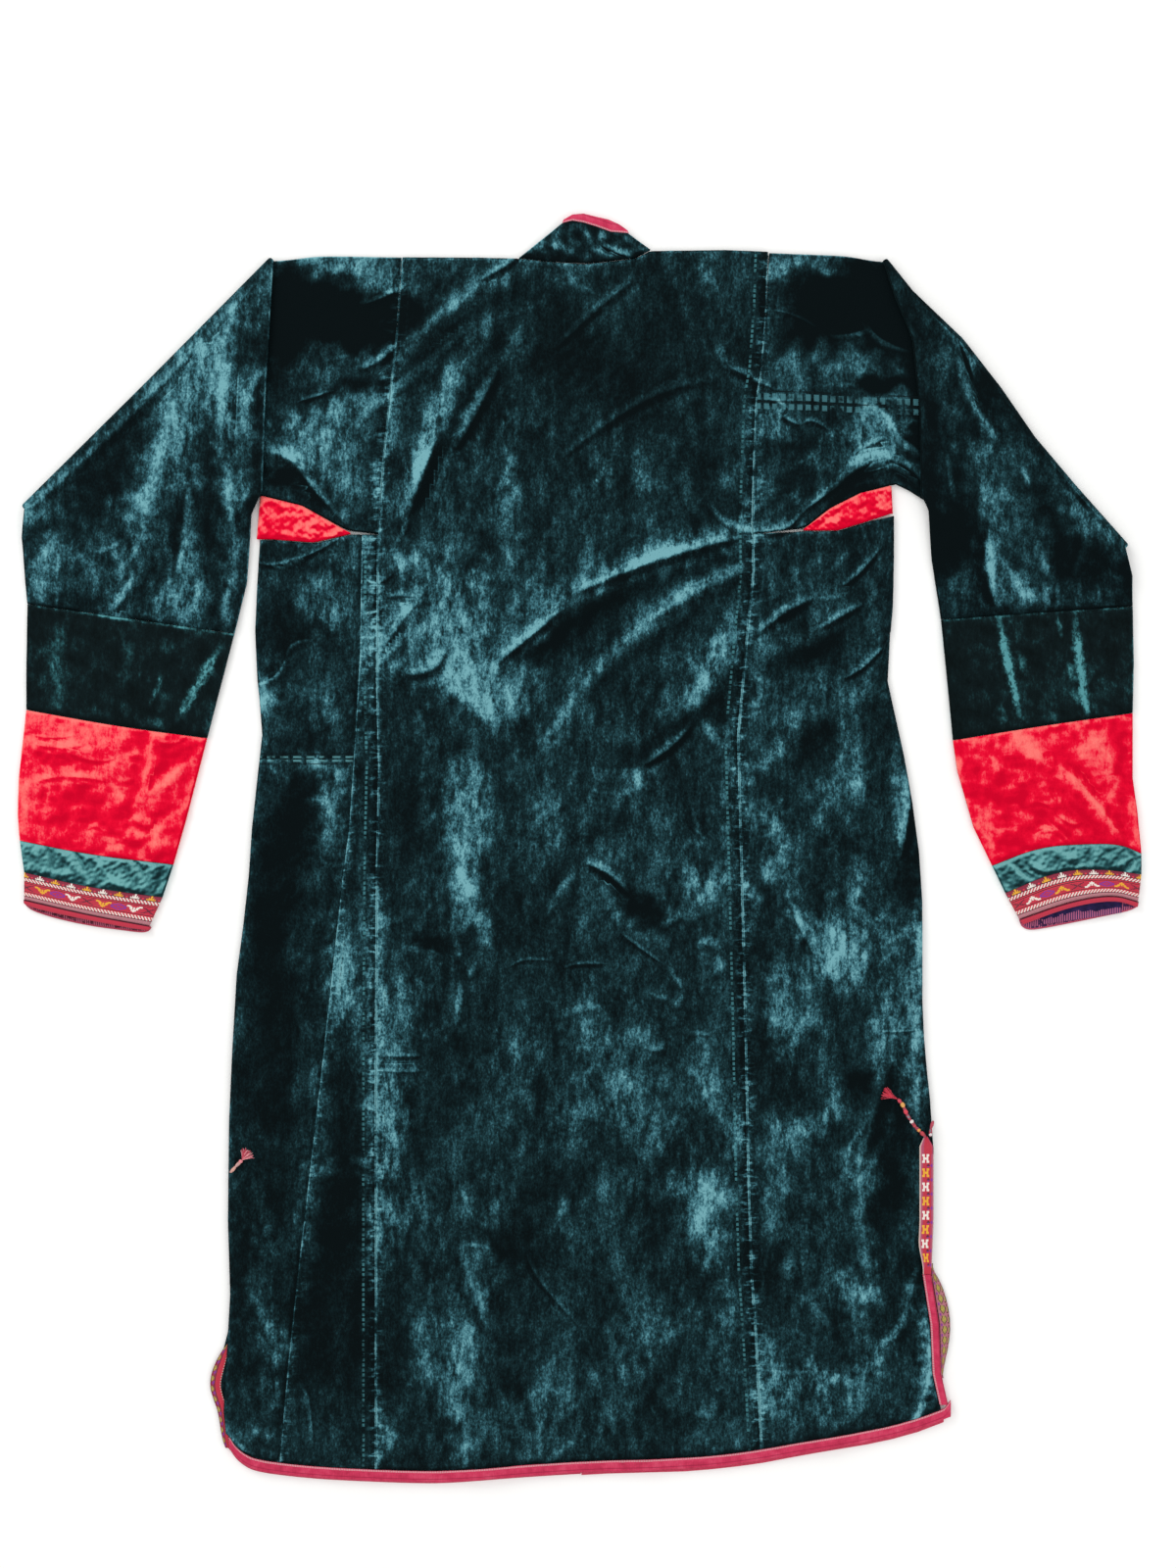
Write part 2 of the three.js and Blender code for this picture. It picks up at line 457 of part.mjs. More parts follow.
sheetSolid('neck_binding', 'crimson', 10, 1, ...[1, 0].map((top) => (i, j) => {
  const [x, y] = (j === 0 ? bindLow : bindTop)(i / 10);
  return [x, y, top ? backTop + 2.2 : 1.2];
}));

// ---------------------------------------------------------------- sleeves
function sleeveFolds(side, x, y) {
  // folds fade out before they reach the part that lies over the root
  const inner = xAtY([{ y: 541, x: 283 }, { y: 468, x: 305 }, { y: 300, x: 310 }], y);
  const clear = side.out > 0 ? inner - x : x + (inner - (side.out < 0 ? 12 : 0));
  return foldHeight(x, y) * soft((clear - 24) / 20);
}

function foldedSleeve(sideName) {
  const side = sleeves[sideName];
  const cells = 8, zMid = stack / 2;
  const foldEdge = path(side.fold);
  const [fa, fb] = [foldEdge(0), foldEdge(1)];
  const length = Math.hypot(fb[0] - fa[0], fb[1] - fa[1]);
  // unit vector square to the fold, pointing outwards
  let nx = (fa[1] - fb[1]) / length, ny = (fb[0] - fa[0]) / length;
  if (nx * side.out < 0) { nx = -nx; ny = -ny; }
  const base = (t) => { const [x, y] = foldEdge(t); return [x - nx * zMid, y - ny * zMid]; };
  const drawnIn = (edge) => (s) => { const p = path(edge)(s); const q = zMid * soft((s - 0.6) / 0.4); return [p[0] - nx * q, p[1] - ny * q]; };
  const root = patch(path(side.armhole), base, drawnIn(side.top), drawnIn(side.under));
  const rings = [];
  const flapSteps = 8;
  // a section at each corner of the underarm edge, and between corners that are far apart
  const cornerShares = sharesOf(side.under);
  const rootShares = [];
  cornerShares.forEach((s, i) => {
    rootShares.push(s);
    if (i + 1 < cornerShares.length && cornerShares[i + 1] - s > 0.2) rootShares.push((s + cornerShares[i + 1]) / 2);
  });
  for (const s of rootShares) {
    const place = (t) => { const p = root(s, t); return s === 0 ? [p[0] + side.out * seam, p[1]] : p; };
    const lift = (x, y) => sleeveFolds(side, x, y) * (1 - soft((s - 0.8) / 0.2));
    rings.push(flatRing(place, cells, () => 0, (x, y) => backTop + lift(x, y)));
  }
  // round the fold: every point turns about the middle of the stack
  const flat = flatRing((t) => root(1, t), cells, () => 0, () => backTop);
  for (const turn of [35, 70, 90, 110, 145]) {
    const a = (turn * Math.PI) / 180;
    const roll = ([x, y, h]) => { const r = zMid - h; return [x + nx * r * Math.sin(a), y + ny * r * Math.sin(a), zMid - r * Math.cos(a)]; };
    rings.push({ outer: flat.outer.map(roll), inner: flat.inner.map(roll) });
  }
  const crossEnd = path([side.inner[side.inner.length - 1], side.outer[side.outer.length - 1]]);
  const shifted = (edge) => (s) => { const p = path(edge)(s); const q = mix(zMid, 0, s); return [p[0] - nx * q, p[1] - ny * q]; };
  const flap = patch(base, crossEnd, shifted(side.inner), shifted(side.outer));
  for (let r = 0; r <= flapSteps; r += 1) {
    const s = r / flapSteps;
    const place = (t) => { const p = flap(s, t); return r === flapSteps ? [p[0], p[1] + seam / 2] : p; };
    // the flap lies on the root, then slopes down to the floor past the root's lower edge
    const floor = (x, y) => flapZ * (1 - soft((yAtX(side.rootEdge, x) - y - 3) / 46));
    const ring = flatRing(place, cells, floor, (x, y) => floor(x, y) + backTop + flapPuff(side, x, y, s));
    // turned over: the ring runs the other way up
    const turnOver = (pts) => { const half = pts.length / 2; const out = [pts[0]]; for (let i = 1; i < half; i += 1) out.push(pts[pts.length - i]); out.push(pts[half]); for (let i = half + 1; i < pts.length; i += 1) out.push(pts[pts.length - i]); return out; };
    rings.push({ outer: turnOver(ring.outer), inner: turnOver(ring.inner) });
  }
  tubeSolid(`sleeve_${sideName}_upper`, 'velvet', rings);
}

// soft rise of a hanging sleeve's upper wall
function flapPuff(side, x, y, s) {
  const across = clamp01((Math.abs(x) - 300) / 210);
  return 1.8 * soft(s * 1.6) * Math.sin(Math.PI * across) ** 2;
}

function sleeveBands(sideName) {
  const side = sleeves[sideName];
  let start = path([side.inner[side.inner.length - 1], side.outer[side.outer.length - 1]]);
  let before = 1.8;
  side.bands.forEach((band, b) => {
    const end = path(band.end);
    const cloth = patch(start, end, path(band.inner), path(band.outer));
    const rings = [];
    const from = before;
    const length = Math.hypot(end(0)[0] - start(0)[0], end(0)[1] - start(0)[1]);
    for (let r = 0; r <= band.steps; r += 1) {
      const s = r === 0 ? (seam / 2) / length : r === band.steps ? 1 - (seam / 2) / length : r / band.steps;
      const [ax] = cloth(s, 0), [bx] = cloth(s, 1);
      const rise = mix(from, band.puff, s);
      const high = (x) => backTop + rise * Math.sin(Math.PI * clamp01((x - ax) / (bx - ax))) ** 1.3;
      rings.push(flatRing((t) => cloth(s, t), 8, () => 0, high));
    }
    tubeSolid(`sleeve_${sideName}_${band.name}`, band.look, rings);
    start = end;
    before = band.puff;
  });
  // cuff edge: upper lip set back from the lower one, so the mouth shows its facing
  const lip = side.lip;
  const upperEnd = path(lip.end), lowerEnd = path(lip.low);
  const strip = (name, look, endPath, lowZ, highZ, gap) => sheetSolid(name, look, 8, 1, ...[1, 0].map((top) => (i, j) => {
    const t = i / 8;
    const [x, y] = j === 0 ? start(t) : endPath(t);
    const arc = Math.sin(Math.PI * t) ** 1.3;
    const [sx, sy] = start(t);
    const move = j === 0 ? gap / Math.hypot(endPath(t)[0] - sx, endPath(t)[1] - sy) : 0;
    return [mix(x, endPath(t)[0], move), mix(y, endPath(t)[1], move), top ? highZ(arc) : lowZ(arc)];
  }));
  strip(`cuff_${sideName}_binding_upper`, 'crimson', upperEnd, (a) => backZ + 0.1 + lip.puff * a, (a) => backTop + 0.2 + lip.puff * a, seam / 2 + 0.1);
  strip(`cuff_${sideName}_binding_lower`, 'crimson', lowerEnd, () => 0, () => wall - 0.2, seam / 2 + 0.1);
}

foldedSleeve('left');
foldedSleeve('right');
sleeveBands('left');
sleeveBands('right');

// facing inside the open right cuff, on its lower wall
const faceIn = path([[418, -45], [440, -35], [480, -31], [490, -33]]);
const faceOut = path([[425, -70], [470, -63.5], [493, -60]]);
sheetSolid('cuff_right_facing', 'facing', 6, 2, ...[1, 0].map((top) => (i, j) => {
  const [ax, ay] = faceIn(i / 6), [bx, by] = faceOut(i / 6);
  return [mix(ax, bx, j / 2), mix(ay, by, j / 2), top ? wall + seam + 0.8 : wall + seam];
}));

// ---------------------------------------------------------------- gussets
// a square folded on its slant: two legs that meet in a bend at the outer end
function gusset(name, out, upperEdge, lowerEdge) {
  const up = path(upperEdge), low = path(lowerEdge);
  const steps = 6, across = 3, bend = backTop / 2;
  const legs = [];
  for (let i = 0; i <= steps; i += 1) legs.push({ u: mix(0.07, 0.96, i / steps), turn: 0 });
  for (const turn of [45, 90, 135]) legs.push({ u: 0.96, turn });
  for (let i = steps; i >= 0; i -= 1) legs.push({ u: mix(0.07, 0.96, i / steps), turn: 180 });
  const at = (radius) => (i, j) => {
    const { u, turn } = legs[i];
    const [ax, ay] = up(u), [bx, by] = low(u);
    const a = (turn * Math.PI) / 180;
    const v = j / across;
    return [mix(ax, bx, v) + out * radius * Math.sin(a), mix(ay, by, v), bend - radius * Math.cos(a)];
  };
  sheetSolid(name, 'red', legs.length - 1, across, at(bend), at(bend - wall));
}
gusset('gusset_left', -1, [[-214, 289.2], [-238, 302.0], [-256, 312.0], [-296, 322.0]], [[-213, 287.7], [-223, 285.0], [-246, 280.2], [-282, 282.8], [-299, 283.0]]);
gusset('gusset_right', 1, [[207, 293.6], [228, 309.6], [256, 323.7], [286, 331.2]], [[206, 291.1], [235, 291.4], [264, 300.1], [287, 307.7]]);

// ---------------------------------------------------------------- tassels
function toSolid(verts, faces) {
  return Manifold.ofMesh(new SolidMesh({ numProp: 3, vertProperties: new Float32Array(verts.flat()), triVerts: new Uint32Array(faces.flat()) }));
}
// a strand through points with a width at each, closed at both ends
function strand(points, widths, sides) {
  const verts = [], faces = [];
  points.forEach((p, i) => {
    const a = points[Math.max(0, i - 1)], b = points[Math.min(points.length - 1, i + 1)];
    const dir = new THREE.Vector3(b[0] - a[0], b[1] - a[1], b[2] - a[2]).normalize();
    const side = new THREE.Vector3(-dir.y, dir.x, 0).normalize();
    const up = new THREE.Vector3().crossVectors(side, dir).normalize();
    for (let k = 0; k < sides; k += 1) {
      const turn = (2 * Math.PI * (k + 0.5)) / sides;
      const c = Math.cos(turn) * widths[i], s = Math.sin(turn) * widths[i];
      verts.push([p[0] + side.x * c + up.x * s, p[1] + side.y * c + up.y * s, p[2] + side.z * c + up.z * s]);
    }
  });
  const n = points.length;
  for (let i = 0; i < n - 1; i += 1) {
    for (let k = 0; k < sides; k += 1) {
      const a = i * sides + k, b = i * sides + ((k + 1) % sides), c = a + sides, d = b + sides;
      faces.push([a, d, b], [a, c, d]);
    }
  }
  for (let k = 1; k < sides - 1; k += 1) {
    faces.push([0, k, k + 1], [(n - 1) * sides, (n - 1) * sides + k + 1, (n - 1) * sides + k]);
  }
  let volume = 0;
  for (const [a, b, c] of faces) {
    const [p, q, r] = [verts[a], verts[b], verts[c]];
    volume += p[0] * (q[1] * r[2] - q[2] * r[1]) + p[1] * (q[2] * r[0] - q[0] * r[2]) + p[2] * (q[0] * r[1] - q[1] * r[0]);
  }
  return toSolid(verts, volume > 0 ? faces : faces.map(([a, b, c]) => [a, c, b]));
}

function tassel(name, { cord, tip, strands, spread, size = 1 }) {
  const lift = backTop + seam + 0.15;
  const parts = [];
  // beaded cord
  const run = path(cord);
  const pts = [], wide = [];
  const beads = 8 * size;
  for (let i = 0; i <= beads * 2; i += 1) {
    const [x, y] = run(i / (beads * 2));
    const w = i % 2 ? 2.1 : 1.5;
    pts.push([x, y, lift + 2.1 + foldHeight(x, y)]);
    wide.push(w);
  }
  parts.push(strand(pts, wide, 5));
  if (strands > 0) {
    const [hx, hy] = run(1);
    const dir = Math.atan2(tip[1] - hy, tip[0] - hx);
    const reach = Math.hypot(tip[0] - hx, tip[1] - hy);
    parts.push(strand([0, 0.5, 1].map((k) => [hx + Math.cos(dir) * (k * 5 - 2), hy + Math.sin(dir) * (k * 5 - 2), lift + 2.2 + foldHeight(hx, hy)]), [1.6, 2.2, 2.0], 6));
    for (let i = 0; i < strands; i += 1) {
      const share = strands > 1 ? i / (strands - 1) - 0.5 : 0;
      const a = dir + share * spread;
      const far = reach * (0.82 + 0.18 * Math.cos(i * 2.4));
      const up = 1.0 + 1.6 * ((i * 7) % 5) / 5;
      const line = [0, 0.5, 1].map((k) => {
        const x = hx + Math.cos(dir) * 2 + Math.cos(a) * far * k, y = hy + Math.sin(dir) * 2 + Math.sin(a) * far * k;
        return [x, y, lift + mix(2.2, up, k) + foldHeight(x, y)];
      });
      parts.push(strand(line, [0.8, 0.8, 0.5], 3));
    }
  }
  const whole = Manifold.union(parts);
  const mesh = whole.getMesh();
  const verts = [], faces = [];
  for (let i = 0; i < mesh.numVert; i += 1) verts.push([mesh.vertProperties[i * mesh.numProp], mesh.vertProperties[i * mesh.numProp + 1], mesh.vertProperties[i * mesh.numProp + 2]]);
  for (let i = 0; i < mesh.numTri; i += 1) faces.push([mesh.triVerts[3 * i], mesh.triVerts[3 * i + 1], mesh.triVerts[3 * i + 2]]);
  addSolid(name, 'bead', verts, faces);
}
tassel('tassel_right', { cord: [[314.5, -264], [306, -256], [298.5, -245], [294, -236], [290, -230.5]], tip: [276.5, -223], strands: 14, spread: 1.1 });
tassel('tassel_right_short', { cord: [[319.8, -264], [320.2, -257], [321.6, -251]], tip: [323, -247], strands: 0, spread: 0.5, size: 0.5 });
tassel('tassel_left', { cord: [[-320.5, -297], [-315.5, -291.5], [-310.5, -286.3]], tip: [-302, -276], strands: 12, spread: 1.2, size: 0.5 });

export default group;
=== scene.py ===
import math

import bpy
import numpy as np
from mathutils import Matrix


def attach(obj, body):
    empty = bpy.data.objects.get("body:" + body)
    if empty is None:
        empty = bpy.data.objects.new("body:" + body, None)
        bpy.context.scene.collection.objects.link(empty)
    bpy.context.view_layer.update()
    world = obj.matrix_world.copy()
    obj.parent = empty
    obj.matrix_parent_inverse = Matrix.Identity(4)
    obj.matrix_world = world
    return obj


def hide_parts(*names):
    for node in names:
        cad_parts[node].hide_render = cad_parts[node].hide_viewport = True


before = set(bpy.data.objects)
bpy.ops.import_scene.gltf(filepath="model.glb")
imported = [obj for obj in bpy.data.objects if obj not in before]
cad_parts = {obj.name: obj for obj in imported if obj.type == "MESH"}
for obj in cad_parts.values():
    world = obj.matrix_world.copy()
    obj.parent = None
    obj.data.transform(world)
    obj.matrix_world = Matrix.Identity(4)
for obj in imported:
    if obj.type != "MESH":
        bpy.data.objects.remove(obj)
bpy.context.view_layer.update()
scene = bpy.context.scene
mm = 0.001

# the camera looks straight down, collar up
view = {"middle": (6.3, 58.0), "height": 2200.0, "tall": 1440.0, "sensor": 36.0}
cameraData = bpy.data.cameras.new("above")
cameraData.sensor_width = view["sensor"]
cameraData.lens = view["sensor"] * view["height"] / view["tall"]
cameraData.clip_end = 20.0
camera = bpy.data.objects.new("above", cameraData)
camera.location = (view["middle"][0] * mm, view["middle"][1] * mm, view["height"] * mm)
scene.collection.objects.link(camera)
scene.camera = camera
scene.view_settings.view_transform = "Standard"
print("camera set")

# sizes shared by every piece, in millimetres
cloth = {"wall": 2.0, "air": 0.4, "seam": 0.3, "binding": 10.0, "stack": 9.4}
backLow = cloth["wall"] + cloth["air"]  # underside of the back
backTop = backLow + cloth["wall"]

# outlines and seams as (y, x) rows from the collar down
edgeLeft = [(290, -294), (243, -297), (198, -299), (153, -297), (108, -292), (63, -297), (18, -302),
            (-27, -305), (-72, -310), (-117, -316), (-185, -320), (-252, -323), (-342, -324),
            (-410, -322), (-464, -325), (-518, -328), (-580, -322)]
edgeRight = [(310, 287), (265, 287), (220, 286), (198, 284), (175, 276), (153, 281), (130, 286),
             (85, 296), (40, 304), (-5, 310), (-50, 313), (-140, 313), (-185, 315), (-230, 320),
             (-275, 323), (-342, 323), (-392, 321), (-437, 328), (-482, 330), (-518, 338), (-580, 341)]
seamRight = [(560, 172), (495, 170), (440, 166), (410, 161), (359, 159), (297, 157), (252, 158),
             (193, 152), (147, 148), (102, 144), (24, 146), (-171, 151), (-284, 153), (-387, 156),
             (-445, 160), (-580, 167)]
seamLeft = [(542, -164), (472, -169), (358, -181), (288, -186), (154, -187), (74, -185), (-14, -187),
            (-189, -188), (-580, -188)]
seamGore = [(300, -201), (177, -203), (108, -207), (76, -209), (17, -213), (-29, -219), (-212, -239),
            (-392, -260), (-477, -269), (-580, -278)]
slitOutLeft = [(-447, -321.6), (-453, -322.5), (-464, -331), (-479, -338.5), (-494, -341), (-506, -337.5),
               (-518, -333), (-542, -329.5), (-552, -326)]
slitInLeft = [(-447, -321), (-467, -324.6), (-485, -329.6), (-494, -331), (-503, -329), (-515, -325),
              (-533, -323.7), (-552, -322.6)]
slitOutRight = [(-380, 322), (-389, 323.5), (-400, 330.5), (-421, 337), (-440, 339), (-458, 337),
                (-473, 333.5), (-486, 331.5)]
# heights across the garment as (x, y) from left to right
hemLine = [(-345, -538), (-323, -549), (-318, -558), (-310, -565.5), (-298, -571.5), (-264, -576),
           (-228, -579), (-156, -582), (-120, -582), (-48, -576), (24, -572), (96, -570), (132, -567),
           (168, -562), (204, -555), (276, -543), (312, -533), (350, -518)]
shoulderLine = [(-350, 542), (-93, 541), (-58, 540), (-30, 537), (6, 535), (49, 540), (64, 547),
                (132, 548), (178, 546), (281, 541), (350, 541)]
underarmLeft = [(-330, 282), (-282, 282), (-244, 279), (-223, 284), (-210, 287), (-180, 287)]
underarmRight = [(150, 287), (205, 290), (235, 290), (264, 299), (300, 307)]

# folds: crest from (x0, y0) through (xm, ym) to (x1, y1), half width, height
folds = [
    (150, 287, 34, 240, -84, 157, 15, 6.5), (148, 246, 84, 212, 4, 146, 12, 4.5),
    (144, 200, 112, 138, 42, 94, 13, 5), (-66, 505, -118, 408, -164, 300, 13, 5),
    (-122, 392, -143, 345, -160, 306, 10, 3.5), (-46, 528, -110, 488, -176, 430, 12, 4),
    (-168, 262, -136, 205, -96, 130, 26, 4.5), (-134, 78, -104, -20, -112, -106, 14, 4),
    (-176, -150, -168, -240, -172, -318, 14, 3), (2, -8, 26, -26, 46, -46, 12, 3),
    (36, -68, 66, -92, 96, -124, 12, 3), (-52, -210, -74, -380, -84, -590, 26, 4),
    (44, -230, 54, -400, 62, -590, 24, 3.5), (232, -90, 236, -300, 226, -590, 24, 3.5),
    (-282, -120, -288, -300, -300, -500, 18, 2.5), (252, 222, 216, 190, 172, 176, 12, 4.5),
    (256, 128, 214, 112, 176, 64, 13, 3.5), (-262, 352, -242, 332, -216, 306, 12, 4),
    (-246, 452, -222, 414, -196, 372, 14, 3), (204, 404, 226, 372, 246, 348, 11, 4),
    (188, 486, 206, 450, 214, 420, 13, 3), (20, 470, 66, 420, 108, 380, 20, 3),
]
